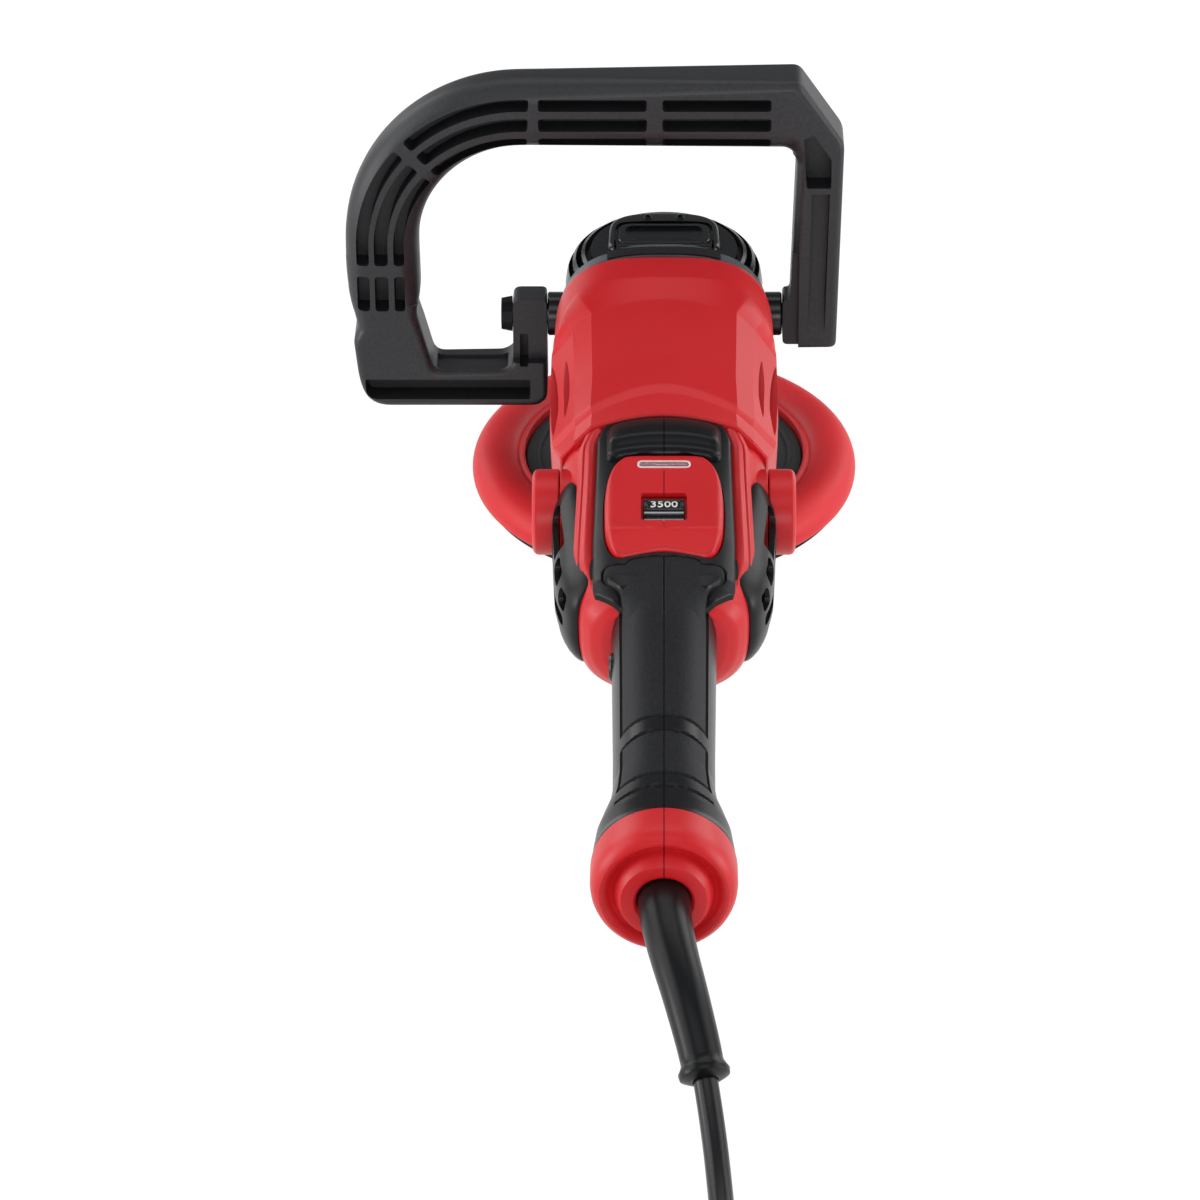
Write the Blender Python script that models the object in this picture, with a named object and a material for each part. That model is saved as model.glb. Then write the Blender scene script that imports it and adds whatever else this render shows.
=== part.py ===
"""Rotary polisher with a bail handle: housings, drive train, controls, pad and mains cord.

Lengths are in millimetres until mesh() turns them into metres. The frame stands on the pad:
origin at the centre of the pad's flat face, +Z up the spindle, the rear grip along -Y and
+X to the right of someone who holds the tool from behind.
"""
import math

import bmesh
import bpy
from mathutils import Matrix, Vector

METRE = 0.001

# Fits
GAP = 0.3            # between pieces that touch
RUN = 0.5            # between pieces that turn or slide past each other

# Heights and stations along the tool
AXIS_Z = 77.0        # motor axis above the pad face
FLANGE_Y = -27.0     # rear face of the gear case flange
SPLIT_Y = -124.7     # joint between motor housing and rear shells
NECK_Y = -224.0      # front end of the rubber grip
CAP_Y = -358.4       # front edge of the flared end cap
END_Y = -377.4       # rear face of the cord collar

# Pad and spindle
PAD_RADIUS = 75.0
PAD_HEIGHT = 17.0
PAD_STEPS = 28
HOOK_RADIUS = 71.0
HOOK_THICK = 1.5
PLATE_RADIUS = 54.0
PLATE_FLOOR = 8.0
HUB_RADIUS = 13.0
HUB_TOP = 24.5
SPINDLE_THREAD = 7.0
SPINDLE_JOURNAL = 7.5
SPINDLE_COLLAR = 12.0
SPINDLE_TOP = 99.0
SPINDLE_TIP = 5.0
SPINDLE_BEARING_RADIUS = 17.5
SPINDLE_BEARING_WIDTH = 10.2
BUSH_RADIUS = 8.0
BUSH_LENGTH = 11.4

# Bevel gears, with their common apex where the two axes cross
CROWN_TEETH = 32
PINION_TEETH = 8
CROWN_RADIUS = 28.0
FACE_SHARE = 0.3
PRESSURE_ANGLE = math.radians(22)
CROWN_ADDENDUM = 0.9
PINION_ADDENDUM = 1.35
ROOT_CLEARANCE = 0.35
BACKLASH = 0.5
CROWN_HUB_RADIUS = 20.0
CROWN_HUB_BOTTOM = 51.0
CROWN_RIM_BOTTOM = 62.0

# Gear case and its cover
HEAD_RADIUS = 34.3
HEAD_WALL = 3.0
HEAD_FOOT_Z = 36.0
HEAD_TOP_Z = 103.0
COVER_WALL = 3.1
COVER_FOOT_Z = 60.0
HEAD_BOSS_RADIUS = 10.0
HEAD_BOSS_END = 38.2
FOOT_PLATE_THICK = 4.5
LOCK_Z = 53.0
LOCK_RADIUS = 6.5
LOCK_TRAVEL = 4.0
LOCK_SUNK = 5.0      # how far the button's body reaches into the wall
LOCK_PROUD = 6.0
EXHAUST_SLITS = 3
EXHAUST_FIRST = math.radians(-13)
EXHAUST_STEP = math.radians(-8)
SLIT_HALF = 1.1
HEAD_PLATE = (18.5, 8.0, 5.0)   # half width, half length and corner of the bare plate
HEAD_PLATE_Y = 10.0

# Motor
SHAFT_RADIUS = 5.0
FRONT_BEARING_RADIUS = 14.0
FRONT_BEARING_Y = -30.0
FRONT_BEARING_WIDTH = 9.0
REAR_BEARING_RADIUS = 11.0
REAR_BEARING_Y = -158.0
REAR_BEARING_WIDTH = 7.0
FAN_RADIUS = 31.0
FAN_Y = -43.5
FAN_WIDTH = 12.0
FAN_BLADES = 9
CORE_RADIUS = 20.5
CORE_Y = -66.0
CORE_LENGTH = 42.0
AIR_GAP = 0.8
COMMUTATOR_RADIUS = 13.0
BRUSH_Y = -143.4
BRUSH_WIDTH = 6.0
BRUSH_HEIGHT = 9.0
BRUSH_COVER_RADIUS = 15.5
BRUSH_COVER_END = 47.4
BRIDGE_RADIUS = 22.6

# Housings
MOTOR_WALL = 3.2
VENT_FRONT_Y = -66.0
VENT_BACK_Y = -110.0
VENT_HALF = 1.7
VENT_HEIGHTS = (15.0, -6.0)     # middles of the side vents over and under the motor axis
SHELL_WALL = 2.4
PANEL_THICK = 2.0
PANEL_HALF = 24.5
BUMPER_HALF = 20.3
HUMP_HALF = 20.6
HUMP_TOP = 30.4
HUMP_START_Y = -153.0
HUMP_BACK_Y = -195.0
HUMP_END_Y = -205.0
HUMP_FALL = 0.025
LENS_Y = -158.5
LENS_HALF = 9.0
DIAL_Y = -186.0
DIAL_RADIUS = 12.5
DIAL_HALF = 7.3
DIAL_PROUD = 0.9
DIAL_AXLE = 2.4
DIAL_CHEEK = 3.0
DIAL_WINDOW = 10.2
GRIP_HALF = 18.5
CAP_RADIUS = 24.1
CORD_HOLE = 9.1

# Intake covers on the sides
POD_Y = -180.0
POD_HALF_LENGTH = 38.0
POD_Z = -2.0
POD_HALF_HEIGHT = 19.5
POD_CORNER = 15.0
POD_BULGE = 6.0
POD_WALL = 1.7
POD_SLOTS = (8.6, -0.2, -9.0)      # middles of the slots over the cover's own middle
POD_SLOT_FRONT = 18.0
POD_SLOT_BACK = 27.0
POD_SLOT_HALF = 2.6
AIR_PORT_FRONT = 12.0
AIR_PORT_BACK = 20.0
AIR_PORT_HIGH = 10.0
AIR_PORT_LOW = 10.5
FILTER_LAP = 1.2

# Trigger and switch
TRIGGER_Y = -237.0
TRIGGER_LENGTH = 64.0
TRIGGER_HALF = 8.2
TRIGGER_PIN_Z = -13.0
TRIGGER_PIN = 1.5
TRIGGER_NOSE = 5.0   # ahead of the pin
TRIGGER_TAIL = 10.0  # lower corner of the tail under the pin
TRIGGER_DEPTH = 15.0
PIN_HALF = TRIGGER_HALF + RUN + 1.2
SWITCH_HALF = 9.0
SWITCH_LENGTH = 56.0
LATCH_Y = -246.0
LATCH_RADIUS = 5.0
LATCH_TRAVEL = 2.6

# Bail handle, drawn in its own leaning plane with its origin on the mounting axis
BAIL_Z = 76.0
BAIL_LEAN = math.radians(5)
BAIL_HALF_DEPTH = 11.0
BAIL_TOP = 100.0
BAIL_LEFT = -121.5
BAIL_RIGHT = 68.0
BAIL_BEND = 67.5
BAIL_BAR = 28.0
BAIL_HUB = 45.0
BAIL_EYE = 13.0           # width of the left mount
BAIL_EYE_TOP = 8.5
BAIL_EYE_HALF_DEPTH = 6.5
BAIL_SLOT_DEPTH = 6.4
BOLT_RADIUS = 4.0
BOLT_HEAD = 7.0
SPACER_RADIUS = 8.6

# Cord
CORD_RADIUS = 4.0
CORD_BORE_GAP = 0.5
GUARD_FLANGE = 4.3
GUARD_END_Y = -443.0
GUARD_TIP = 6.7
GUARD_COLLAR = 7.4
COIL_CENTRE = (-45.0, -548.0)
COIL_RADIUS = 53.0
COIL_PITCH = 8.7
COIL_LAYER = 8.6
COIL_LAYERS = 4
COIL_TURNS = 2
COIL_TAIL = 50.0
TIE_THICK = 1.2
TIE_WIDTH = 14.0
PLUG_LENGTH = 40.0
PLUG_HALF = 13.0
PLUG_HEIGHT = 17.0
PIN_RADIUS = 2.4
PIN_LENGTH = 19.0
PIN_SPACING = 19.0


def clear_scene():
    for old in list(bpy.data.objects):
        bpy.data.objects.remove(old, do_unlink=True)


def linear(channel):
    if channel <= 0.04045:
        return channel / 12.92
    return ((channel + 0.055) / 1.055) ** 2.4


def material(name, colour, roughness, metallic=0.0):
    made = bpy.data.materials.new(name)
    made.use_nodes = True
    shader = made.node_tree.nodes["Principled BSDF"]
    rgb = [linear(int(colour[i:i + 2], 16) / 255) for i in (1, 3, 5)]
    shader.inputs["Base Color"].default_value = (*rgb, 1)
    shader.inputs["Roughness"].default_value = roughness
    shader.inputs["Metallic"].default_value = metallic
    return made


clear_scene()
RED = material("red_plastic", "#B8232A", 0.35)
BLACK = material("black_plastic", "#26262B", 0.45)
RUBBER = material("black_rubber", "#2A2A2E", 0.7)
NYLON = material("black_nylon", "#1F1F24", 0.4)
ALUMINIUM = material("cast_aluminium", "#8B8B8F", 0.45, 0.9)
STEEL = material("steel", "#9A9A9C", 0.3, 1.0)
LAMINATION = material("lamination_steel", "#5C5C60", 0.5, 0.8)
COPPER = material("copper", "#B46A3C", 0.35, 1.0)
BRASS = material("brass", "#B89A50", 0.35, 1.0)
CARBON = material("carbon", "#232325", 0.8)
FOAM = material("red_foam", "#C21F2C", 0.6)
HOOK = material("hook_face", "#3A3A3C", 0.95)
CLEAR = material("clear_lens", "#E8E8E8", 0.1)
CIRCUIT = material("circuit_board", "#2E5A3C", 0.6)


def mesh(name, points, faces, look, origin=(0, 0, 0)):
    """One object from points in millimetres, with its origin on the given point."""
    shift = Vector(origin)
    bm = bmesh.new()
    made = [bm.verts.new((Vector(p) - shift) * METRE) for p in points]
    for face in faces:
        bm.faces.new([made[i] for i in face])
    bmesh.ops.recalc_face_normals(bm, faces=bm.faces[:])
    data = bpy.data.meshes.new(name)
    bm.to_mesh(data)
    bm.free()
    if look:
        data.materials.append(look)
    data.shade_smooth()
    data.set_sharp_from_angle(angle=math.radians(35))
    made = bpy.data.objects.new(name, data)
    made.location = shift * METRE
    bpy.context.scene.collection.objects.link(made)
    return made


def loft(name, rings, look, origin=(0, 0, 0), closed=False):
    """A body through rings of equal count: capped at both ends, or closed on its first ring."""
    count = len(rings[0])
    points = [p for ring in rings for p in ring]
    faces = [] if closed else [range(count), range(len(points) - count, len(points))]
    for k in range(len(rings) if closed else len(rings) - 1):
        n = (k + 1) % len(rings)
        for i in range(count):
            j = (i + 1) % count
            faces.append((k * count + i, k * count + j, n * count + j, n * count + i))
    return mesh(name, points, faces, look, origin)


def turned(name, profile, look, axis="Z", centre=(0, 0, 0), steps=32, origin=None):
    """A profile of (radius, height) turned round an axis; radius 0 closes an end on the axis."""
    points, rows = [], []
    for radius, height in profile:
        row = []
        for i in range(steps if radius else 1):
            a = 2 * math.pi * i / steps
            across, along = radius * math.cos(a), radius * math.sin(a)
            spot = {"Z": (across, along, height), "Y": (across, height, along),
                    "X": (height, across, along)}[axis]
            row.append(len(points))
            points.append(Vector(spot) + Vector(centre))
        rows.append(row)
    ring = all(radius for radius, _ in profile)
    faces = []
    for k in range(len(rows) if ring else len(rows) - 1):
        low, high = rows[k], rows[(k + 1) % len(rows)]
        for i in range(steps):
            j = (i + 1) % steps
            corners = [low[i % len(low)], low[j % len(low)], high[j % len(high)], high[i % len(high)]]
            faces.append(list(dict.fromkeys(corners)))
    return mesh(name, points, faces, look, centre if origin is None else origin)


def block(name, low, high, look, origin=(0, 0, 0)):
    x0, y0, z0 = low
    x1, y1, z1 = high
    rings = [[(x0, y0, z), (x1, y0, z), (x1, y1, z), (x0, y1, z)] for z in (z0, z1)]
    return loft(name, rings, look, origin)


def rod(name, radius, start, end, axis, look, centre=(0, 0, 0), steps=24, origin=None):
    profile = [(0, start), (radius, start), (radius, end), (0, end)]
    return turned(name, profile, look, axis, centre, steps, origin)


def collar(name, bore, radius, start, end, axis, look, centre=(0, 0, 0), steps=16):
    profile = [(bore, start), (radius, start), (radius, end), (bore, end)]
    return turned(name, profile, look, axis, centre, steps)


def as_tool(tool):
    tool.hide_render = True
    tool.display_type = "WIRE"
    return tool


def combine(target, tool, operation="DIFFERENCE"):
    """Put a tool among those that a piece is joined with first, or cut by afterwards."""
    label = target.name + ("_cuts" if operation == "DIFFERENCE" else "_additions")
    if label not in target.modifiers:
        tools = bpy.data.collections.new(label)
        bpy.context.scene.collection.children.link(tools)
        change = target.modifiers.new(label, "BOOLEAN")
        change.operation = operation
        change.solver = "EXACT"
        change.operand_type = "COLLECTION"
        change.collection = tools
    bpy.data.collections[label].objects.link(as_tool(tool))
    bpy.context.scene.collection.objects.unlink(tool)
    return target


def cut_block(target, name, low, high):
    return combine(target, block(name, low, high, None))


def cut_rod(target, name, radius, start, end, axis, centre=(0, 0, 0), steps=24):
    return combine(target, rod(name, radius, start, end, axis, None, centre, steps))


def add(target, tool):
    return combine(target, tool, "UNION")


# Cross-sections: superellipses about the motor axis, each (y, half width, height, depth, power)

HOUSING_STATIONS = (
    (FLANGE_Y - GAP, 41.2, 41.0, 40.0, 3.2),
    (-40.0, 41.6, 37.8, 40.0, 3.3),
    (-54.5, 42.0, 37.2, 40.0, 3.4),
    (-90.0, 42.0, 33.3, 39.0, 3.4),
    (-108.0, 40.8, 31.4, 38.0, 3.3),
    (SPLIT_Y + GAP, 37.6, 29.8, 36.0, 3.2),
)
BORE_STATIONS = HOUSING_STATIONS[::2] + HOUSING_STATIONS[-1:]
SHELL_STATIONS = (
    (SPLIT_Y, 37.2, 27.2, 35.6, 3.2),
    (-140.0, 35.6, 26.6, 35.0, 3.1),
    (-170.0, 33.6, 25.4, 34.5, 3.0),
    (-196.0, 32.6, 22.8, 33.2, 2.9),
    (-209.0, 31.4, 20.9, 31.0, 2.8),
    (-218.0, 29.2, 19.4, 27.6, 2.7),
    (-221.5, 26.4, 18.4, 24.4, 2.6),
    (NECK_Y + GAP, 22.0, 17.7, 20.6, 2.4),
    (NECK_Y, 16.2, 16.6, 17.4, 2.4),
    (CAP_Y + 14.0, 16.2, 16.6, 17.2, 2.3),
    (CAP_Y + 6.0, 17.8, 18.0, 18.4, 2.2),
    (CAP_Y + GAP, 20.6, 20.6, 20.6, 2.0),
    (CAP_Y, CAP_RADIUS, CAP_RADIUS, CAP_RADIUS, 2.0),
    (END_Y + 7.0, CAP_RADIUS, CAP_RADIUS, CAP_RADIUS, 2.0),
    (END_Y + 3.0, 21.4, 21.4, 21.4, 2.0),
    (END_Y + 2.8, 15.2, 15.2, 15.2, 2.0),
    (END_Y, 13.4, 13.4, 13.4, 2.0),
)
SHELL_FACETS = 8
CAVITY_RADIUS = 13.6
CAVITY_END = END_Y + 11.0


def at_station(stations, y):
    """Half width, height, depth and power at a place between the stations."""
    for front, back in zip(stations, stations[1:]):
        if front[0] >= y >= back[0]:
            share = (front[0] - y) / (front[0] - back[0])
            return [a + (b - a) * share for a, b in zip(front[1:], back[1:])]
    return list((stations[0] if y > stations[0][0] else stations[-1])[1:])


def arc(y, half, up, down, power, start, end, count):
    """Points of a superellipse about the motor axis, from one angle to another in degrees."""
    points = []
    for i in range(count):
        a = math.radians(start + (end - start) * i / (count - 1))
        c, s = math.cos(a), math.sin(a)
        x = math.copysign(half * abs(c) ** (2 / power), c)
        z = math.copysign((up if s > 0 else down) * abs(s) ** (2 / power), s)
        points.append((x, y, AXIS_Z + z))
    return points


def oval(y, half, up, down, power, count=28):
    return arc(y, half, up, down, power, 0, 360, count + 1)[:-1]


def shrink(station, wall):
    y, half, up, down, power = station
    return y, half - wall, up - wall, down - wall, power


def shell_top(x, y):
    half, up, _, power = at_station(SHELL_STATIONS, y)
    return AXIS_Z + up * max(0.0, 1 - min(1.0, abs(x) / half) ** power) ** (1 / power)


def shell_side(y, z):
    half, up, down, power = at_station(SHELL_STATIONS, y)
    reach = min(1.0, abs(z) / (up if z > 0 else down))
    return half * max(0.0, 1 - reach ** power) ** (1 / power)


def panel_top(x, y):
    return shell_top(x, y) + GAP + PANEL_THICK


def side_name(side):
    return "left" if side < 0 else "right"


def hand(points, side):
    """Mirror points drawn for the right side to the left where side is -1."""
    return [(side * x, y, z) for x, y, z in points]


# Backing pad and spindle

def make_pad():
    rod("pad_hook_face", HOOK_RADIUS, 0, HOOK_THICK, "Z", HOOK, steps=PAD_STEPS)
    low = HOOK_THICK + GAP
    seat = PLATE_FLOOR - GAP
    lip = PLATE_RADIUS + GAP
    bulge = PAD_RADIUS - PLATE_RADIUS
    turned("pad_foam", [
        (HUB_RADIUS + 1, low), (PAD_RADIUS - 0.17 * bulge, low), (PAD_RADIUS, low + 4.5),
        (PAD_RADIUS, low + 7.5), (PAD_RADIUS - 0.08 * bulge, PAD_HEIGHT - 3.6),
        (PAD_RADIUS - 0.27 * bulge, PAD_HEIGHT - 0.8), (PAD_RADIUS - 0.5 * bulge, PAD_HEIGHT),
        (PAD_RADIUS - 0.75 * bulge, PAD_HEIGHT - 1.0), (lip, PAD_HEIGHT - 3.2), (lip, seat),
        (HUB_RADIUS + 1, seat)], FOAM, steps=PAD_STEPS)
    turned("pad_plate", [
        (HUB_RADIUS + GAP, PLATE_FLOOR), (PLATE_RADIUS, PLATE_FLOOR), (PLATE_RADIUS, PLATE_FLOOR + 4.0),
        (26.0, PLATE_FLOOR + 5.4), (20.0, PLATE_FLOOR + 8.0),
        (18.5, HUB_TOP - 1.0), (HUB_RADIUS + GAP, HUB_TOP - 1.0)], BLACK, steps=PAD_STEPS)
    turned("pad_hub", [
        (SPINDLE_THREAD + GAP, PLATE_FLOOR), (HUB_RADIUS, PLATE_FLOOR), (HUB_RADIUS, HUB_TOP - 1),
        (HUB_RADIUS - 1, HUB_TOP), (SPINDLE_THREAD + GAP, HUB_TOP)], STEEL, steps=PAD_STEPS // 2)


def make_spindle():
    collar = HUB_TOP + GAP
    turned("spindle", [
        (0, PLATE_FLOOR + 1), (SPINDLE_THREAD, PLATE_FLOOR + 1), (SPINDLE_THREAD, collar),
        (SPINDLE_COLLAR, collar), (SPINDLE_COLLAR, collar + 4.5), (SPINDLE_COLLAR - 2, HEAD_FOOT_Z + 1.2),
        (SPINDLE_JOURNAL, HEAD_FOOT_Z + 1.2), (SPINDLE_JOURNAL, CROWN_RIM_BOTTOM + 4),
        (SPINDLE_TIP, CROWN_RIM_BOTTOM + 7), (SPINDLE_TIP, SPINDLE_TOP), (0, SPINDLE_TOP)], STEEL, steps=14)


def tooth_spot(cone, h, turn, share, flank):
    """A place on a bevel tooth: radius and distance from the apex along the gear's own axis."""
    reach = CROWN_RADIUS / math.sin(math.atan2(CROWN_TEETH, PINION_TEETH))
    radius = reach * math.sin(cone) + h * math.cos(cone)
    along = reach * math.cos(cone) - h * math.sin(cone)
    return radius * share, along * share, turn + flank / radius


def tooth_half(teeth, cone, h):
    """Half the tooth thickness at a height over the pitch cone, of an involute on the back cone."""
    pitch_radius = CROWN_RADIUS * teeth / CROWN_TEETH / math.cos(cone)
    base = pitch_radius * math.cos(PRESSURE_ANGLE)
    radius = max(pitch_radius + h, base)
    tilt = math.acos(min(1.0, base / radius))
    involute = math.tan(PRESSURE_ANGLE) - PRESSURE_ANGLE - (math.tan(tilt) - tilt)
    module = 2 * CROWN_RADIUS / CROWN_TEETH
    half_angle = (math.pi * module / 4 - BACKLASH / 4) / pitch_radius + involute
    return (pitch_radius + h) * half_angle


def tooth_ring(teeth, cone, heights, share, phase):
    ring = []
    for tooth in range(teeth):
        turn = phase + 2 * math.pi * tooth / teeth
        flanks = [(h, -tooth_half(teeth, cone, h)) for h in heights]
        flanks += [(h, -flank) for h, flank in reversed(flanks)]
        ring += [tooth_spot(cone, h, turn, share, flank) for h, flank in flanks]
    return ring


def fan_faces(outer, inner):
    """Triangles from a ring to a coarser one whose count divides it."""
    step = len(outer) // len(inner)
    faces = []
    for j, low in enumerate(inner):
        for i in range(step):
            faces.append((low, outer[j * step + i], outer[(j * step + i + 1) % len(outer)]))
        faces.append((low, outer[(j + 1) * step % len(outer)], inner[(j + 1) % len(inner)]))
    return faces


def bevel_gear(name, teeth, heights, rings, phase, place, look, origin):
    """A straight bevel gear: two toothed rings, then plain rings (radius, along) from heel to toe."""
    cone = math.atan2(teeth, CROWN_TEETH + PINION_TEETH - teeth)
    heel = tooth_ring(teeth, cone, heights, 1, phase)
    toe = tooth_ring(teeth, cone, heights, 1 - FACE_SHARE, phase)
    count = 16
    points = [place(*spot) for spot in heel + toe]
    rows = [list(range(len(heel))), list(range(len(heel), 2 * len(heel)))]
    for radius, along in rings:
        rows.append(list(range(len(points), len(points) + count)))
        first = heel[0][2]
        points += [place(radius, along, first + 2 * math.pi * i / count) for i in range(count)]
    faces = fan_faces(rows[0], rows[2]) + fan_faces(rows[1], rows[-1])
    for low, high in [(rows[0], rows[1])] + list(zip(rows[2:], rows[3:])):
        for i in range(len(low)):
            j = (i + 1) % len(low)
            faces.append((low[i], low[j], high[j], high[i]))
    return mesh(name, points, faces, look, origin)


def make_gears():
    crown_heights = (-PINION_ADDENDUM - ROOT_CLEARANCE, CROWN_ADDENDUM)
    pinion_heights = (-CROWN_ADDENDUM - ROOT_CLEARANCE, 0.1, PINION_ADDENDUM)
    bore = SPINDLE_JOURNAL + GAP
    half_tooth = math.pi / CROWN_TEETH
    toe_radius = CROWN_RADIUS * (1 - FACE_SHARE) - 3.0
    bevel_gear(
        "crown_gear", CROWN_TEETH, crown_heights,
        [(CROWN_RADIUS + 0.6, AXIS_Z - CROWN_RIM_BOTTOM), (CROWN_HUB_RADIUS, AXIS_Z - CROWN_RIM_BOTTOM),
         (CROWN_HUB_RADIUS, AXIS_Z - CROWN_HUB_BOTTOM), (bore, AXIS_Z - CROWN_HUB_BOTTOM),
         (bore, AXIS_Z - CROWN_RIM_BOTTOM - 3.8), (toe_radius, AXIS_Z - CROWN_RIM_BOTTOM - 3.8)],
        -math.pi / 2 + half_tooth,
        lambda r, along, a: (r * math.cos(a), r * math.sin(a), AXIS_Z - along),
        STEEL, (0, 0, AXIS_Z))
    heel_along = CROWN_RADIUS + 1.2
    pinion_bore = SHAFT_RADIUS - 1.2
    toe_along = CROWN_RADIUS * (1 - FACE_SHARE)
    bevel_gear(
        "pinion_gear", PINION_TEETH, pinion_heights,
        [(5.6, heel_along), (pinion_bore, heel_along), (pinion_bore, toe_along - 1.0),
         (4.3, toe_along - 1.0)],
        -math.pi / 2,
        lambda r, along, a: (r * math.cos(a), -along, AXIS_Z + r * math.sin(a)),
        STEEL, (0, 0, AXIS_Z))


# Gear case

BEARING_FLOOR = HEAD_FOOT_Z + 1.5
BUSH_TOP = SPINDLE_TOP - 2 * GAP


def neck_rings(growth):
    """The gear case between its head and the motor flange, grown by a clearance."""
    sizes = ((FLANGE_Y, 40.6), (FLANGE_Y + 5.5, 40.4), (FLANGE_Y + 6.0, 37.4),
             (FLANGE_Y + 16.0, HEAD_RADIUS - 0.6), (-2.0, HEAD_RADIUS - 3.4))
    return [oval(y, r + growth, r - 0.2 + growth, r - 1 + growth, 2.9, 20) for y, r in sizes]


def make_gear_case():
    cavity = HEAD_RADIUS - HEAD_WALL
    case = turned("gear_case", [
        (0, HEAD_FOOT_Z), (HEAD_RADIUS - 4, HEAD_FOOT_Z), (HEAD_RADIUS - 1.2, HEAD_FOOT_Z + 4),
        (HEAD_RADIUS, HEAD_FOOT_Z + 9), (HEAD_RADIUS, HEAD_TOP_Z - 11), (HEAD_RADIUS - 2.5, HEAD_TOP_Z - 5),
        (HEAD_RADIUS - 9, HEAD_TOP_Z), (0, HEAD_TOP_Z)], ALUMINIUM, steps=24)
    add(case, loft("neck_body", neck_rings(0), None))
    add(case, rod("bearing_boss", FRONT_BEARING_RADIUS + 4, FRONT_BEARING_Y - FRONT_BEARING_WIDTH - GAP,
                  FLANGE_Y + 1, "Y", None, (0, 0, AXIS_Z), 18))
    for side in (-1, 1):
        ends = sorted((side * (HEAD_RADIUS - 6), side * HEAD_BOSS_END))
        add(case, rod("handle_boss_" + side_name(side), HEAD_BOSS_RADIUS, *ends, "X", None,
                      (0, 0, BAIL_Z), 14))
    roof = HEAD_TOP_Z - HEAD_WALL - 1
    boss = BUSH_RADIUS + 3
    way = SPINDLE_COLLAR + RUN
    seat = SPINDLE_BEARING_RADIUS + GAP
    seat_top = BEARING_FLOOR + GAP + SPINDLE_BEARING_WIDTH + GAP
    bush_foot = BUSH_TOP - BUSH_LENGTH
    combine(case, turned("case_room", [
        (0, HEAD_FOOT_Z - 2), (way, HEAD_FOOT_Z - 2), (way, BEARING_FLOOR), (seat, BEARING_FLOOR),
        (seat, seat_top), (cavity, seat_top), (cavity, roof - 6), (cavity - 6, roof - 1), (boss, roof - 1),
        (boss, bush_foot), (BUSH_RADIUS + GAP, bush_foot), (BUSH_RADIUS + GAP, BUSH_TOP + GAP),
        (SPINDLE_TIP + RUN, BUSH_TOP + GAP), (SPINDLE_TIP + RUN, SPINDLE_TOP + RUN), (0, SPINDLE_TOP + RUN)],
        None, steps=16))
    cut_block(case, "flange_back", (-HEAD_RADIUS, -2 * HEAD_RADIUS, HEAD_FOOT_Z - 5),
              (HEAD_RADIUS, FLANGE_Y, AXIS_Z - FRONT_BEARING_RADIUS - 6))
    cut_rod(case, "pinion_way", FRONT_BEARING_RADIUS - 2.5, FRONT_BEARING_Y - 2, -8, "Y", (0, 0, AXIS_Z), 16)
    cut_rod(case, "bearing_seat", FRONT_BEARING_RADIUS + GAP, FRONT_BEARING_Y - FRONT_BEARING_WIDTH - 4,
            FRONT_BEARING_Y + GAP, "Y", (0, 0, AXIS_Z), 18)
    cut_rod(case, "handle_bolt_ways", BOLT_RADIUS + GAP, -HEAD_BOSS_END - 2, HEAD_BOSS_END + 2, "X",
            (0, 0, BAIL_Z), 10)
    cut_rod(case, "lock_way", LOCK_RADIUS + GAP, HEAD_RADIUS - LOCK_SUNK - LOCK_TRAVEL - RUN,
            HEAD_RADIUS + LOCK_PROUD, "Y", (0, 0, LOCK_Z), 14)


def make_head_cover():
    inner = HEAD_RADIUS + GAP
    outer = inner + COVER_WALL
    inner_top = HEAD_TOP_Z + GAP
    top = inner_top + COVER_WALL
    cover = turned("gear_head_cover", [
        (0, top), (outer - 12, top), (outer - 4, top - 3.2), (outer, top - 11), (outer, COVER_FOOT_Z),
        (inner, COVER_FOOT_Z), (inner, HEAD_TOP_Z - 11), (inner - 2.5, HEAD_TOP_Z - 4.6),
        (inner - 9, inner_top), (0, inner_top)], BLACK, steps=24)
    combine(cover, loft("neck_room", neck_rings(RUN), None))
    cut_block(cover, "flange_room", (-60, -60, COVER_FOOT_Z - 5), (60, FLANGE_Y + 6.0 + GAP, top + 5))
    cut_rod(cover, "boss_ways", HEAD_BOSS_RADIUS + GAP, -outer - 2, outer + 2, "X", (0, 0, BAIL_Z), 14)
    for side in (-1, 1):
        for k in range(EXHAUST_SLITS):
            a = EXHAUST_FIRST + EXHAUST_STEP * k
            rib = block("exhaust_%d_%d" % (side, k), (inner - 6, -SLIT_HALF, AXIS_Z - 8),
                        (outer + 4, SLIT_HALF, HEAD_TOP_Z - 6), None)
            rib.rotation_euler = (0, 0, a if side > 0 else math.pi - a)
            combine(cover, rib)
    plate = oval_plate(*HEAD_PLATE, 2)
    rings = [[(x * grow, y * grow + HEAD_PLATE_Y, z) for x, y in plate]
             for grow, z in ((1, top - 1.5), (1, top + 1.2), (0.94, top + 1.8))]
    add(cover, loft("head_plate", rings, None))


def oval_plate(half_x, half_y, corner, steps=4):
    """Corners of a rounded rectangle about the origin."""
    points = []
    for sx, sy, first in ((1, 1, 0), (-1, 1, 90), (-1, -1, 180), (1, -1, 270)):
        for k in range(steps + 1):
            a = math.radians(first + 90 * k / steps)
            points.append((sx * (half_x - corner) + corner * math.cos(a),
                           sy * (half_y - corner) + corner * math.sin(a)))
    return points


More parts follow.
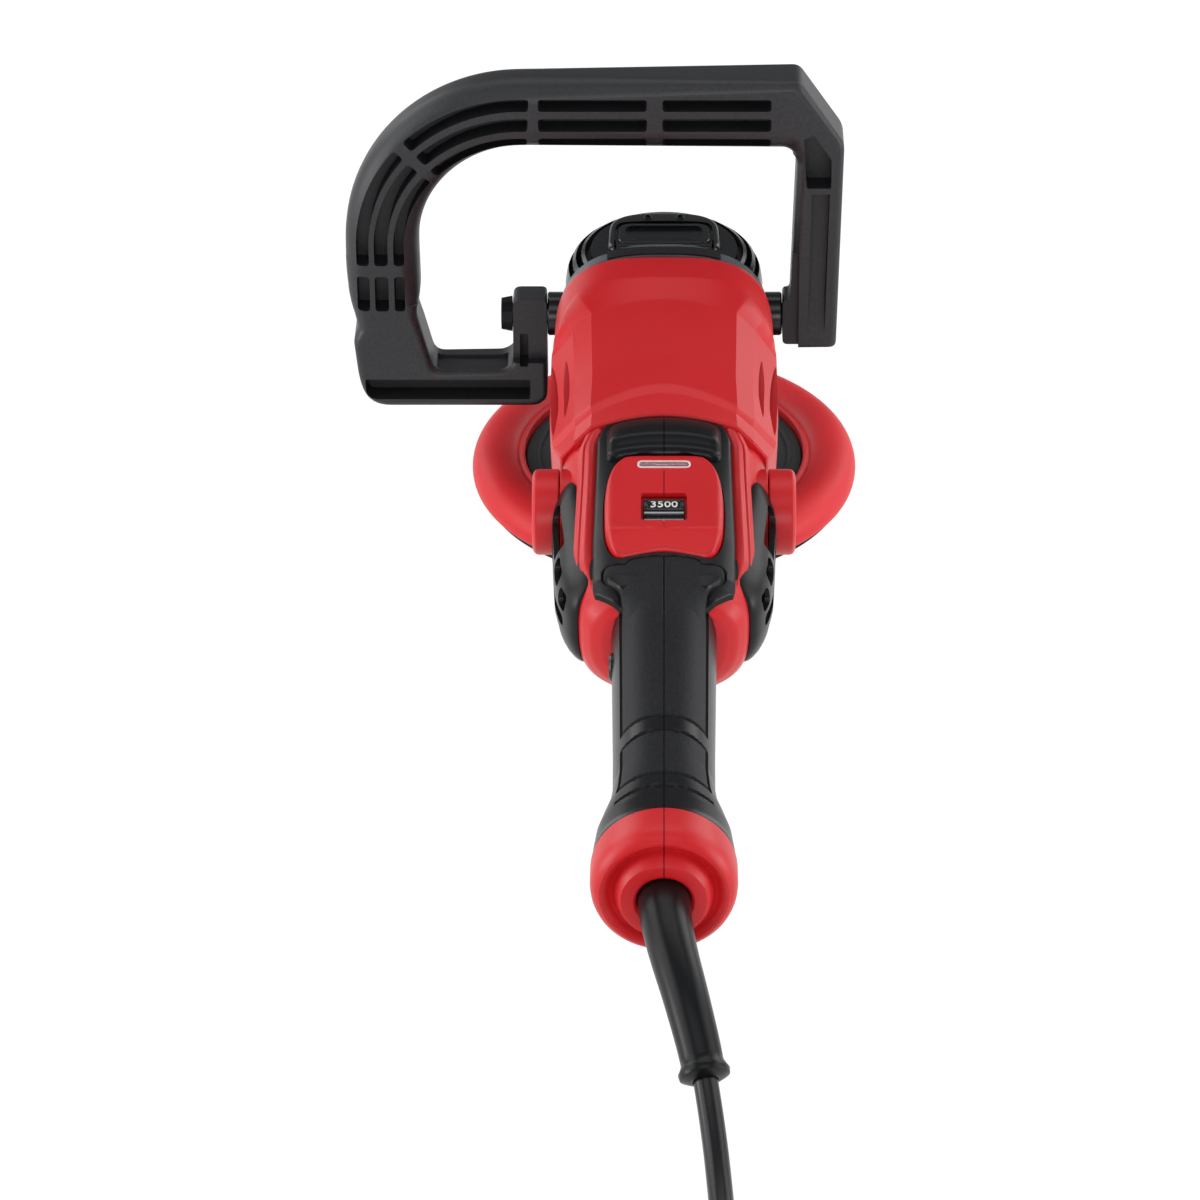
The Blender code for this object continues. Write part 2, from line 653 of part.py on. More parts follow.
def make_head_fittings():
    turned("foot_plate", [
        (SPINDLE_COLLAR + RUN, HEAD_FOOT_Z - GAP), (SPINDLE_COLLAR + RUN, HEAD_FOOT_Z - FOOT_PLATE_THICK),
        (HEAD_RADIUS - 7.5, HEAD_FOOT_Z - FOOT_PLATE_THICK), (HEAD_RADIUS - 4.5, HEAD_FOOT_Z - 2.5),
        (HEAD_RADIUS - 4.5, HEAD_FOOT_Z - GAP)], ALUMINIUM, steps=20)
    low = BEARING_FLOOR + GAP
    collar("spindle_bearing", SPINDLE_JOURNAL + GAP, SPINDLE_BEARING_RADIUS, low, low + SPINDLE_BEARING_WIDTH,
           "Z", STEEL)
    collar("spindle_bush", SPINDLE_TIP + GAP, BUSH_RADIUS, BUSH_TOP - BUSH_LENGTH, BUSH_TOP, "Z", BRASS)
    tip = CROWN_HUB_RADIUS + LOCK_TRAVEL + 1.0
    root = HEAD_RADIUS - LOCK_SUNK
    face = HEAD_RADIUS + LOCK_PROUD
    turned("spindle_lock_button", [
        (0, tip), (3, tip), (3, root), (LOCK_RADIUS, root), (LOCK_RADIUS, face - 1),
        (LOCK_RADIUS - 1.2, face), (0, face)], BLACK, "Y", (0, 0, LOCK_Z), 12, (0, face, LOCK_Z))


# Motor

def make_armature():
    centre = (0, 0, AXIS_Z)
    core_end = CORE_Y - CORE_LENGTH
    bearing_back = REAR_BEARING_Y - REAR_BEARING_WIDTH
    pinion_seat = SHAFT_RADIUS - 1.2 - GAP
    tip = -CROWN_RADIUS * (1 - FACE_SHARE) + 3
    commutator_y = BRUSH_Y + BRUSH_WIDTH + 3.5
    commutator_back = BRUSH_Y - BRUSH_WIDTH - 3.5
    riser = COMMUTATOR_RADIUS + 2
    turned("armature_shaft", [
        (0, tip), (pinion_seat, tip), (pinion_seat, -CROWN_RADIUS - 1.2 - GAP),
        (SHAFT_RADIUS + 1, -CROWN_RADIUS - 1.2 - GAP), (SHAFT_RADIUS + 1, FAN_Y + 1.5),
        (SHAFT_RADIUS, FAN_Y + 1.5), (SHAFT_RADIUS, REAR_BEARING_Y + 1), (4, REAR_BEARING_Y + 1),
        (4, bearing_back - 1), (0, bearing_back - 1)], STEEL, "Y", centre, 12)
    bore = SHAFT_RADIUS + GAP
    turned("armature_core", [
        (bore, CORE_Y + 6), (CORE_RADIUS - 6, CORE_Y + 6), (CORE_RADIUS - 3, CORE_Y + 2.5),
        (CORE_RADIUS - 3, CORE_Y), (CORE_RADIUS, CORE_Y), (CORE_RADIUS, core_end),
        (CORE_RADIUS - 3, core_end), (CORE_RADIUS - 3, core_end - 5),
        (CORE_RADIUS - 7, core_end - 11), (bore, core_end - 11)],
        LAMINATION, "Y", centre, 14)
    turned("commutator", [
        (bore, commutator_y), (riser, commutator_y), (riser, commutator_y - 3),
        (COMMUTATOR_RADIUS, commutator_y - 3), (COMMUTATOR_RADIUS, commutator_back), (bore, commutator_back)],
        COPPER, "Y", centre, 14)
    fan = turned("cooling_fan", [
        (bore, FAN_Y + 1), (9, FAN_Y + 1), (10, FAN_Y - 2), (FAN_RADIUS, FAN_Y - 2), (FAN_RADIUS, FAN_Y - 4),
        (10, FAN_Y - 4), (9, FAN_Y - FAN_WIDTH), (bore, FAN_Y - FAN_WIDTH)], BLACK, "Y", centre, 14)
    for k in range(FAN_BLADES):
        blade = block("fan_blade_%d" % k, (12.5, FAN_Y - FAN_WIDTH, -1), (FAN_RADIUS - 1, FAN_Y - 3, 1), None)
        blade.location = Vector(centre) * METRE
        blade.rotation_euler = (0, 2 * math.pi * k / FAN_BLADES, 0)
        add(fan, blade)
    for name, y, radius, width, hole in (
            ("motor_front_bearing", FRONT_BEARING_Y, FRONT_BEARING_RADIUS, FRONT_BEARING_WIDTH,
             SHAFT_RADIUS + 1),
            ("motor_rear_bearing", REAR_BEARING_Y, REAR_BEARING_RADIUS, REAR_BEARING_WIDTH, 4)):
        collar(name, hole + GAP, radius, y, y - width, "Y", STEEL, centre)


def make_stator():
    bore = CORE_RADIUS + AIR_GAP
    core_end = CORE_Y - CORE_LENGTH
    half, up, _, power = at_station(BORE_STATIONS, core_end)
    fit = MOTOR_WALL + GAP
    rings = [oval(y, half - fit, up - fit, up - fit, power) for y in (CORE_Y, core_end)]
    stator = loft("stator_core", rings, LAMINATION)
    combine(stator, rod("stator_bore", bore, core_end - 5, CORE_Y + 5, "Y", None, (0, 0, AXIS_Z), 18))
    slots = [(sx, sz) for sx in (-1, 1) for sz in (-1, 1)]
    winding = turned("field_winding", [
        (bore + 0.4, CORE_Y + 5.2), (up - fit - 0.3, CORE_Y + 5.2), (up - fit - 0.3, CORE_Y + GAP),
        (bore + 0.4, CORE_Y + GAP)], COPPER, "Y", (0, 0, AXIS_Z), 14)
    add(winding, turned("rear_turns", [
        (bore + 0.4, core_end - GAP), (up - fit - 0.3, core_end - GAP), (up - fit - 0.8, core_end - 7),
        (bore + 0.4, core_end - 7)], None, "Y", (0, 0, AXIS_Z), 14))
    for sx, sz in slots:
        spots = [sorted((sx * 21.4, sx * 26.4)), sorted((sz * 9.0, sz * 14.0))]
        (x0, x1), (z0, z1) = spots
        label = "%d_%d" % (sx, sz)
        cut_block(stator, "slot_" + label, (x0 - GAP, core_end - 1, AXIS_Z + z0 - GAP),
                  (x1 + GAP, CORE_Y + 1, AXIS_Z + z1 + GAP))
        add(winding, block("slot_turns_" + label, (x0, core_end - 3, AXIS_Z + z0),
                           (x1, CORE_Y + 3, AXIS_Z + z1), None))
    half, up, down, power = at_station(BORE_STATIONS, CORE_Y + 7)
    rings = [oval(y, half - fit, up - fit, down - fit, power) for y in (CORE_Y + 9, CORE_Y + 7)]
    baffle = loft("fan_baffle", rings, BLACK)
    cut_rod(baffle, "baffle_eye", CORE_RADIUS + 1.5, CORE_Y, CORE_Y + 20, "Y", (0, 0, AXIS_Z), 18)


def make_brush_gear():
    flange = at_station(BORE_STATIONS, SPLIT_Y + 7)[1] - MOTOR_WALL - GAP - 1.0
    bore = REAR_BEARING_RADIUS + GAP
    back = REAR_BEARING_Y - REAR_BEARING_WIDTH
    bridge = turned("brush_bridge", [
        (flange, SPLIT_Y + 7), (flange, SPLIT_Y + 1.5), (BRIDGE_RADIUS, SPLIT_Y + 1.5),
        (BRIDGE_RADIUS, REAR_BEARING_Y + 2), (bore + 3.4, REAR_BEARING_Y - 1), (bore + 3.4, back),
        (bore, back), (bore, REAR_BEARING_Y + GAP), (7.5, REAR_BEARING_Y + GAP), (7.5, REAR_BEARING_Y + 3.5),
        (BRIDGE_RADIUS - 2.6, REAR_BEARING_Y + 3.5), (BRIDGE_RADIUS - 2.6, SPLIT_Y + 7)],
        BLACK, "Y", (0, 0, AXIS_Z), 14)
    wall = 1.4
    hy = BRUSH_WIDTH / 2
    hz = BRUSH_HEIGHT / 2
    outer_y = hy + GAP + wall
    outer_z = hz + GAP + wall
    start = COMMUTATOR_RADIUS + 2.6
    stop = BRUSH_COVER_END - 7.4
    cut_block(bridge, "brush_ways", (-40, BRUSH_Y - outer_y - GAP, AXIS_Z - outer_z - GAP),
              (40, BRUSH_Y + outer_y + GAP, AXIS_Z + outer_z + GAP))
    for side in (-1, 1):
        name = side_name(side)
        x0, x1 = sorted((side * start, side * stop))
        holder = block("brush_holder_" + name, (x0, BRUSH_Y - outer_y, AXIS_Z - outer_z),
                       (x1, BRUSH_Y + outer_y, AXIS_Z + outer_z), BRASS)
        cut_block(holder, "brush_bore_" + name, (x0 - 2, BRUSH_Y - hy - GAP, AXIS_Z - hz - GAP),
                  (x1 + 2, BRUSH_Y + hy + GAP, AXIS_Z + hz + GAP))
        b0, b1 = sorted((side * (COMMUTATOR_RADIUS + GAP), side * (COMMUTATOR_RADIUS + 14)))
        block("carbon_brush_" + name, (b0, BRUSH_Y - hy, AXIS_Z - hz),
              (b1, BRUSH_Y + hy, AXIS_Z + hz), CARBON)
        make_brush_spring(name, side, COMMUTATOR_RADIUS + 14 + GAP, stop - 0.4)
        make_brush_cover(name, side, stop + GAP)


def make_brush_spring(name, side, start, stop):
    wire = 0.4
    radius = BRUSH_WIDTH / 2 - wire
    curls = 3
    points = []
    for i in range(curls * 6 + 1):
        a = 2 * math.pi * i / 6
        along = start + wire + (stop - start - 2 * wire) * i / (curls * 6)
        points.append((side * along, BRUSH_Y + radius * math.cos(a), AXIS_Z + radius * math.sin(a)))
    tube("brush_spring_" + name, points, wire, STEEL, 0)


def brush_seat():
    """How far out the shell's round boss stands, just proud of its wall in front of the boss."""
    return shell_side(BRUSH_Y + BRUSH_COVER_RADIUS, 0) + RUN


def make_brush_cover(name, side, press):
    """A round screw cover over each brush, with a coin slot and a stem that seats the spring."""
    seat = brush_seat() + GAP
    wall = 2.4
    end = BRUSH_COVER_END
    rim = BRUSH_COVER_RADIUS
    profile = [(0, end), (rim - 1.6, end), (rim, end - 1.6), (rim, seat), (rim - wall, seat),
               (rim - wall, end - wall), (BRUSH_WIDTH / 2, end - wall), (BRUSH_WIDTH / 2, press), (0, press)]
    cover = turned("brush_cover_" + name, [(r, side * x) for r, x in profile], RED, "X",
                   (0, BRUSH_Y, AXIS_Z), 14)
    x0, x1 = sorted((side * (end - 1.3), side * (end + 2)))
    cut_block(cover, "coin_slot_" + name, (x0, BRUSH_Y - 8, AXIS_Z - 1), (x1, BRUSH_Y + 8, AXIS_Z + 1))


def make_motor_housing():
    outer = [oval(*station) for station in HOUSING_STATIONS]
    inner = [oval(*shrink(station, MOTOR_WALL)) for station in BORE_STATIONS]
    housing = loft("motor_housing", outer + inner[::-1], RED, closed=True)
    for side in (-1, 1):
        x0, x1 = sorted((side * 30, side * 50))
        for k, height in enumerate(VENT_HEIGHTS):
            cut_block(housing, "side_vent_%d_%d" % (side, k), (x0, VENT_BACK_Y, AXIS_Z + height - VENT_HALF),
                      (x1, VENT_FRONT_Y, AXIS_Z + height + VENT_HALF))


# Rear shells and what they carry

def shell_ring(station, side):
    """One half of the rear housing at a station: its outer arc, then the room inside it."""
    y, half, up, down, power = station
    flats = 1 / math.cos(math.pi / 12)
    tube_room = CAVITY_RADIUS * flats
    hole = CORD_HOLE * flats
    if y > NECK_Y + 1:
        room = (half - SHELL_WALL, up - SHELL_WALL, down - SHELL_WALL, power)
    elif y > CAVITY_END:
        room = (tube_room, tube_room, tube_room, power)
    else:
        room = (hole, hole, hole, 2.0)
    outer = arc(*station, 90, -90, SHELL_FACETS + 1)
    inner = arc(y, *room, -90, 90, 7)
    return hand([(max(GAP / 2, x), y, z) for x, y, z in outer + inner], side)


def make_shell(side):
    name = side_name(side)
    stations = []
    for front, back in zip(SHELL_STATIONS, SHELL_STATIONS[1:]):
        stations.append(front)
        if front[0] > CAVITY_END > back[0]:
            middle = (CAVITY_END + 0.1, *at_station(SHELL_STATIONS, CAVITY_END))
            stations += [middle, (CAVITY_END - 0.1, *middle[1:])]
    stations.append(SHELL_STATIONS[-1])
    shell = loft("rear_shell_" + name, [shell_ring(station, side) for station in stations], RED)
    add(shell, strip("dial_hump_" + name, hump_stations(0), hump_top, lambda x, y: shell_top(x, y) - 1.2,
                     None, side))
    x0, x1 = sorted((side * (shell_side(BRUSH_Y, 0) - SHELL_WALL - 2), side * brush_seat()))
    add(shell, rod("brush_boss_" + name, BRUSH_COVER_RADIUS, x0, x1, "X", None, (0, BRUSH_Y, AXIS_Z), 14))
    x0, x1 = sorted((side * 20, side * 50))
    cut_rod(shell, "brush_port_" + name, BRUSH_COVER_RADIUS - 4, x0, x1, "X", (0, BRUSH_Y, AXIS_Z), 12)
    cut_block(shell, "air_port_" + name, (x0, POD_Y - AIR_PORT_BACK, AXIS_Z + POD_Z - AIR_PORT_LOW),
              (x1, POD_Y + AIR_PORT_FRONT, AXIS_Z + POD_Z + AIR_PORT_HIGH))
    roof = hump_top(0, DIAL_Y) - 2.6
    cut_dial_window(shell, name + "_shell", DIAL_RADIUS + RUN + 0.4, DIAL_HALF + DIAL_CHEEK + GAP, roof)
    cut_dial_window(shell, name + "_hump", DIAL_WINDOW)
    level = hump_top(0, LENS_Y)
    cut_block(shell, "lens_recess_" + name, (-LENS_HALF - GAP, LENS_Y - 2 - GAP, level - 2.2 - GAP),
              (LENS_HALF + GAP, LENS_Y + 2 + GAP, level + 5))
    cut_trigger_slot(shell, name + "_shell")
    cut_rod(shell, "pin_seat_" + name, TRIGGER_PIN + GAP, -PIN_HALF - GAP, PIN_HALF + GAP, "X",
            (0, TRIGGER_Y, AXIS_Z + TRIGGER_PIN_Z), 10)
    if side < 0:
        cut_latch_hole(shell, "latch_way_shell")


def cut_dial_window(target, label, half_length, half=DIAL_HALF + RUN, roof=AXIS_Z + 60):
    cut_block(target, "dial_window_" + label, (-half, DIAL_Y - half_length, AXIS_Z + 8),
              (half, DIAL_Y + half_length, roof))


def cut_trigger_slot(target, label):
    half = TRIGGER_HALF + RUN
    reach = math.hypot(TRIGGER_LENGTH, TRIGGER_TAIL) + RUN
    cut_block(target, "trigger_slot_" + label, (-half, TRIGGER_Y - reach, AXIS_Z - 40),
              (half, TRIGGER_Y + TRIGGER_NOSE + 1 + RUN, AXIS_Z - 6))


def cut_latch_hole(target, label):
    cut_rod(target, label, LATCH_RADIUS + GAP, -30, -8, "X", (0, LATCH_Y, AXIS_Z + 2), 14)


def make_grip(side):
    name = side_name(side)
    up, down = GRIP_HALF + 1.0, GRIP_HALF + 1.6
    stations = (
        (NECK_Y - GAP, GRIP_HALF, up - 0.4, down, 2.4),
        (NECK_Y - 30, GRIP_HALF, up, down, 2.4),
        (CAP_Y + 38, GRIP_HALF - 0.4, up, down - 0.4, 2.35),
        (CAP_Y + 14, GRIP_HALF, up - 0.4, down - 0.6, 2.3),
        (CAP_Y + 6, GRIP_HALF + 1.7, up + 0.9, down + 0.4, 2.2),
        (CAP_Y + 2 * GAP, CAP_RADIUS - 0.8, CAP_RADIUS - 0.8, CAP_RADIUS - 0.8, 2.0),
    )
    rings = []
    for station in stations:
        y = station[0]
        half, top, bottom, power = at_station(SHELL_STATIONS, y)
        outer = arc(*station, 90, -90, SHELL_FACETS + 1)
        inner = arc(y, half + GAP, top + GAP, bottom + GAP, power, -90, 90, SHELL_FACETS + 1)
        rings.append(hand([(max(GAP / 2, x), y, z) for x, y, z in outer + inner], side))
    grip = loft("grip_" + name, rings, RUBBER)
    cut_trigger_slot(grip, name + "_grip")
    if side < 0:
        cut_latch_hole(grip, "latch_way_grip")


def strip(name, stations, top, base, look, side, count=6):
    """A half of a moulding on the top of the shells: (y, half width) stations between two surfaces."""
    rings = []
    for y, half in stations:
        xs = [GAP / 2 + (half - GAP / 2) * i / (count - 1) for i in range(count)]
        upper = [(x, y, top(x, y)) for x in xs]
        lower = [(x, y, base(x, y)) for x in reversed(xs)]
        rings.append(hand(upper + lower, side))
    return loft(name, rings, look)


def hump_top(x, y):
    slope = HUMP_TOP - HUMP_FALL * (HUMP_START_Y - y)
    drop = max(0.0, HUMP_BACK_Y - y) * 0.42 + max(0.0, y - HUMP_START_Y + 2.0) * 0.9
    edge = max(0.0, abs(x) - HUMP_HALF + 3.0) / 3.0
    return AXIS_Z + slope - drop - 1.6 * edge ** 2


def hump_stations(grow):
    return [(HUMP_START_Y + grow, HUMP_HALF - 1.5 + grow), (HUMP_START_Y - 2, HUMP_HALF - 1 + grow),
            (HUMP_START_Y - 14, HUMP_HALF + grow), (HUMP_BACK_Y, HUMP_HALF - 0.6 + grow),
            (HUMP_END_Y - grow, HUMP_HALF - 2.5 + grow)]


def make_top_panel(side):
    """The rubber round the dial hump, with the rest bumper along its front edge."""
    name = side_name(side)
    start = SPLIT_Y - 2 * GAP
    stations = [(start, PANEL_HALF - 3), (start - 8, PANEL_HALF), (-170, PANEL_HALF),
                (-209, PANEL_HALF - 0.5), (-219, PANEL_HALF - 1.5), (NECK_Y + 2 * GAP, GRIP_HALF + 0.5)]
    panel = strip("top_panel_" + name, stations, panel_top, lambda x, y: shell_top(x, y) - 1, RUBBER, side)
    cut_shell_seat(panel)
    crest = ((-2.4, 0.4), (-4.2, 2.8), (-8.4, 4.4), (-15.0, 2.4), (-21.4, 3.2), (-24.8, 0.4))
    rings = []
    for x, share in ((GAP / 2, 1.0), (9, 1.0), (15, 0.9), (BUMPER_HALF - 2, 0.75), (BUMPER_HALF, 0.45)):
        upper = [(x, start + dy, panel_top(x, start + dy) + h * share) for dy, h in crest]
        lower = [(x, y, panel_top(x, y) - PANEL_THICK / 2) for _, y, _ in reversed(upper)]
        rings.append(hand(upper + lower, side))
    add(panel, loft("rest_bumper_" + name, rings, None))
    combine(panel, strip("hump_room_" + name, hump_stations(GAP), lambda x, y: AXIS_Z + 60,
                         lambda x, y: AXIS_Z + 8, None, side))
    cut_dial_window(panel, name + "_panel", DIAL_RADIUS + RUN + 0.4)


def make_lens():
    level = hump_top(0, LENS_Y)
    block("status_lens", (-LENS_HALF, LENS_Y - 2, level - 2.2), (LENS_HALF, LENS_Y + 2, level + 0.2), CLEAR)


def make_dial():
    z = hump_top(0, DIAL_Y) + DIAL_PROUD - DIAL_RADIUS
    rim = DIAL_HALF - 2.0
    tip = DIAL_HALF + DIAL_CHEEK
    turned("speed_dial", [
        (0, -tip), (DIAL_AXLE, -tip), (DIAL_AXLE, -DIAL_HALF),
        (DIAL_RADIUS - 0.6, -DIAL_HALF), (DIAL_RADIUS, -rim), (DIAL_RADIUS, rim),
        (DIAL_RADIUS - 0.6, DIAL_HALF), (DIAL_AXLE, DIAL_HALF), (DIAL_AXLE, tip),
        (0, tip)], BLACK, "X", (0, DIAL_Y, z), 16)
    return z


def make_controller(dial_z):
    """The speed board on the shell floor, with two cheeks that carry the dial's stub axle."""
    front, back = DIAL_Y + 10, DIAL_Y - 20
    half, up, down, power = at_station(SHELL_STATIONS, back)
    corner = arc(back, half - SHELL_WALL, up - SHELL_WALL, down - SHELL_WALL, power, -60, 90, 2)[0]
    half = corner[0] - GAP
    low = corner[2] + GAP
    board = block("speed_controller", (-half, back, low), (half, front, low + 5), CIRCUIT)
    for side in (-1, 1):
        x0, x1 = sorted((side * (DIAL_HALF + GAP), side * (DIAL_HALF + DIAL_CHEEK)))
        add(board, block("cheek_%d" % side, (x0, DIAL_Y - 5, low + 3), (x1, DIAL_Y + 5, dial_z + 4.4), None))
    cut_rod(board, "dial_axle_way", DIAL_AXLE + GAP, -20, 20, "X", (0, DIAL_Y, dial_z), 16)


def pod_outline(share, steps=2):
    half_y = POD_HALF_LENGTH * share
    half_z = POD_HALF_HEIGHT * share
    return [(POD_Y + y, POD_Z + z) for y, z in oval_plate(half_y, half_z, POD_CORNER * share, steps)]


def pod_ring(share, height):
    return [(shell_side(y, z) + height, y, AXIS_Z + z) for y, z in pod_outline(share)]


def cut_shell_seat(target):
    """Trim a piece that lies on the rear shells to their outside, a gap away."""
    seats = [oval(y, half + GAP, up + GAP, down + GAP, power, 2 * SHELL_FACETS)
             for y, half, up, down, power in SHELL_STATIONS if y >= NECK_Y]
    combine(target, loft("shell_seat_" + target.name, seats, None))


def make_pod(side):
    """A side intake: a slotted cover over the air port, with a flat filter behind its slots."""
    name = side_name(side)
    sunk = -1.5
    swell = ((0.6, 1.0), (0.92, 0.62), (1.0, 0.2))
    outer = [pod_ring(share, GAP + POD_BULGE * rise) for share, rise in swell]
    rim = [pod_ring(1.0, sunk), pod_ring(0.93, sunk)]
    inner = [pod_ring(share, GAP + POD_BULGE * rise - POD_WALL) for share, rise in ((0.86, 0.7), (0.6, 1.0))]
    pod = loft("intake_cover_" + name, [hand(ring, side) for ring in outer + rim + inner], BLACK)
    cut_shell_seat(pod)
    x0, x1 = sorted((side * 20, side * 60))
    cut_rod(pod, "brush_notch_" + name, BRUSH_COVER_RADIUS + 1.0, x0, x1, "X", (0, BRUSH_Y, AXIS_Z), 20)
    x0, x1 = sorted((side * 30, side * 60))
    for k, height in enumerate(POD_SLOTS):
        middle = AXIS_Z + POD_Z + height
        cut_block(pod, "grille_%s_%d" % (name, k), (x0, POD_Y - POD_SLOT_BACK, middle - POD_SLOT_HALF),
                  (x1, POD_Y + POD_SLOT_FRONT, middle + POD_SLOT_HALF))
    low, high = AXIS_Z + POD_Z - AIR_PORT_LOW - FILTER_LAP, AXIS_Z + POD_Z + AIR_PORT_HIGH + FILTER_LAP
    ends = (POD_Y + AIR_PORT_FRONT + FILTER_LAP, POD_Y - AIR_PORT_BACK - FILTER_LAP)
    rings = []
    for y in ends:
        wall = shell_side(y, 0)
        rings.append(hand([(wall - 4, y, low), (wall + 1.2, y, low), (wall + 1.2, y, high),
                           (wall - 4, y, high)], side))
    cut_shell_seat(loft("intake_filter_" + name, rings, HOOK))


# Trigger, latch and switch

def make_trigger():
    """A lever hung on a cross pin at its nose, with a shallow finger hollow along its lower edge."""
    pin = (0, TRIGGER_Y, AXIS_Z + TRIGGER_PIN_Z)
    nose, tail = TRIGGER_NOSE, -TRIGGER_LENGTH
    low = -TRIGGER_DEPTH
    outline = [(nose, 3.5), (nose, -5), (nose - 5, low + 3.5), (nose - 18, low), (nose - 36, low + 0.8),
               (nose - 54, low + 0.2), (tail + 2, -TRIGGER_TAIL - 3), (tail, -TRIGGER_TAIL), (tail, -1.5),
               (nose - 22, -1.5), (nose - 10, 3.5)]
    rings = [[(x, pin[1] + y, pin[2] + z) for y, z in outline] for x in (-TRIGGER_HALF, TRIGGER_HALF)]
    trigger = loft("trigger", rings, BLACK, pin)
    cut_rod(trigger, "trigger_pin_way", TRIGGER_PIN + GAP, -20, 20, "X", pin, 16)
    rod("trigger_pin", TRIGGER_PIN, -PIN_HALF, PIN_HALF, "X", STEEL, pin, 10)


def make_switch():
    top = math.sqrt(CAVITY_RADIUS ** 2 - SWITCH_HALF ** 2)
    block("switch_module", (-SWITCH_HALF, TRIGGER_Y - 4 - SWITCH_LENGTH, AXIS_Z - 3.5),
          (SWITCH_HALF, TRIGGER_Y - 4, AXIS_Z + top), BLACK)
    inner = SWITCH_HALF + LATCH_TRAVEL + 0.6
    face = GRIP_HALF + 0.5
    turned("lock_on_button", [
        (0, -inner), (LATCH_RADIUS, -inner), (LATCH_RADIUS, -face + 0.8), (LATCH_RADIUS - 0.8, -face),
        (0, -face)], BLACK, "X", (0, LATCH_Y, AXIS_Z + 2), 14, (-face, LATCH_Y, AXIS_Z + 2))
    collar("cord_clamp", CORD_RADIUS + CORD_BORE_GAP, CAVITY_RADIUS - GAP, CAP_Y + 24, CAP_Y + 16, "Y",
           BLACK, (0, 0, AXIS_Z), 12)


# Bail handle

def bail_spot(u, v, n):
    s, c = math.sin(BAIL_LEAN), math.cos(BAIL_LEAN)
    return u, v * s - n * c, BAIL_Z + v * c + n * s


def bend(centre, radius, first, last, count, soft, tall=None):
    """Corners along an arc, or along an oval where tall gives its other radius."""
    tall = tall or radius
    points = []
    for k in range(count):
        a = math.radians(first + (last - first) * k / (count - 1))
        points.append((centre[0] + radius * math.cos(a), centre[1] + tall * math.sin(a), soft))
    return points


def bail_outline():
    """Corners (u, v, edge rounding) of the handle, anticlockwise from the foot of its right leg."""
    bend_centre = (BAIL_LEFT + BAIL_BEND, BAIL_TOP - BAIL_BEND)
    inner = BAIL_BEND - BAIL_BAR
    leg = BAIL_LEFT + BAIL_BAR
    foot = -35.0
    eye = -BAIL_HUB - BAIL_EYE
    return [
        (BAIL_HUB + 0.5, -10, 2), (BAIL_RIGHT - 2, -10, 2.5), (BAIL_RIGHT, BAIL_TOP - 25, 3),
        (BAIL_RIGHT - 17, BAIL_TOP, 5),
        *bend(bend_centre, BAIL_BEND, 90, 180, 9, 9),
        (BAIL_LEFT, 20, 8), (BAIL_LEFT + 1.2, 8, 7), (BAIL_LEFT + 4.2, -1.8, 5), (BAIL_LEFT + 2.3, -7.4, 3),
        (BAIL_LEFT + 4.0, foot + 11, 3), (BAIL_LEFT + 6.6, foot + 3.4, 3), (BAIL_LEFT + 12, foot, 3),
        (-BAIL_HUB - 3, foot, 3),
        (-BAIL_HUB, foot + 4, 2), (-BAIL_HUB, BAIL_EYE_TOP, 2), (eye, BAIL_EYE_TOP, 2), (eye, -17, 2),
        (eye - 4, -19.5, 2), (leg + 5, -19.5, 3), (leg + 2, -8, 3), (leg - 1.4, 4.7, 4), (leg + 0.2, 10.6, 7),
        *bend(bend_centre, inner, 180, 90, 7, 9),
        (BAIL_RIGHT - 21, BAIL_TOP - BAIL_BAR, 7), (BAIL_RIGHT - 17.8, BAIL_TOP - BAIL_BAR - 4, 4),
        (BAIL_RIGHT - 19.7, BAIL_EYE_TOP, 3), (BAIL_HUB + 0.5, BAIL_EYE_TOP, 2),
    ]


def inward(points):
    """The inward normal at each corner of an anticlockwise outline, stretched at sharp corners."""
    normals = []
    for i, (u, v, _) in enumerate(points):
        before, after = points[i - 1], points[(i + 1) % len(points)]
        a = Vector((u - before[0], v - before[1])).normalized()
        b = Vector((after[0] - u, after[1] - v)).normalized()
        mean = Vector((-a.y - b.y, a.x + b.x)).normalized()
        normals.append(mean / max(0.5, mean.dot(Vector((-a.y, a.x)))))
    return normals


def make_bail():
    outline = bail_outline()
    normals = inward(outline)
    rings = []
    for face in (1, -1):
        levels = (0, 90) if face > 0 else (90, 0)
        for level in levels:
            a = math.radians(level)
            ring = []
            for (u, v, soft), normal in zip(outline, normals):
                inset = soft * (1 - math.sin(a))
                depth = BAIL_HALF_DEPTH - soft * (1 - math.cos(a))
                ring.append(bail_spot(u + normal.x * inset, v + normal.y * inset, face * depth))
            rings.append(ring)
    bail = loft("bail_handle", rings, NYLON)
    for k, slot in enumerate(bail_slots()):
        low = BAIL_HALF_DEPTH - BAIL_SLOT_DEPTH
        rings = [[bail_spot(u, v, n) for u, v in slot] for n in (low, BAIL_HALF_DEPTH + 4)]
        combine(bail, loft("bail_slot_%d" % k, rings, None))
    eyes = ((-BAIL_HUB - BAIL_EYE - 1, 1 - BAIL_HUB), (BAIL_HUB - 1, BAIL_RIGHT - 16.5))
    for k, (u0, u1) in enumerate(eyes):
        corners = [(u0, -16), (u1, -16), (u1, 30), (u0, 30)]
        for face in (-1, 1):
            rings = [[bail_spot(u, v, face * n) for u, v in corners] for n in (BAIL_EYE_HALF_DEPTH, 20)]
            combine(bail, loft("bail_eye_%d_%d" % (k, face), rings, None))
    cut_rod(bail, "bail_bolt_way", BOLT_RADIUS + GAP, -80, 90, "X", (0, 0, BAIL_Z), 14)
    cut_rod(bail, "bail_bolt_well", BOLT_HEAD + RUN, BAIL_RIGHT - 9, 90, "X", (0, 0, BAIL_Z), 16)


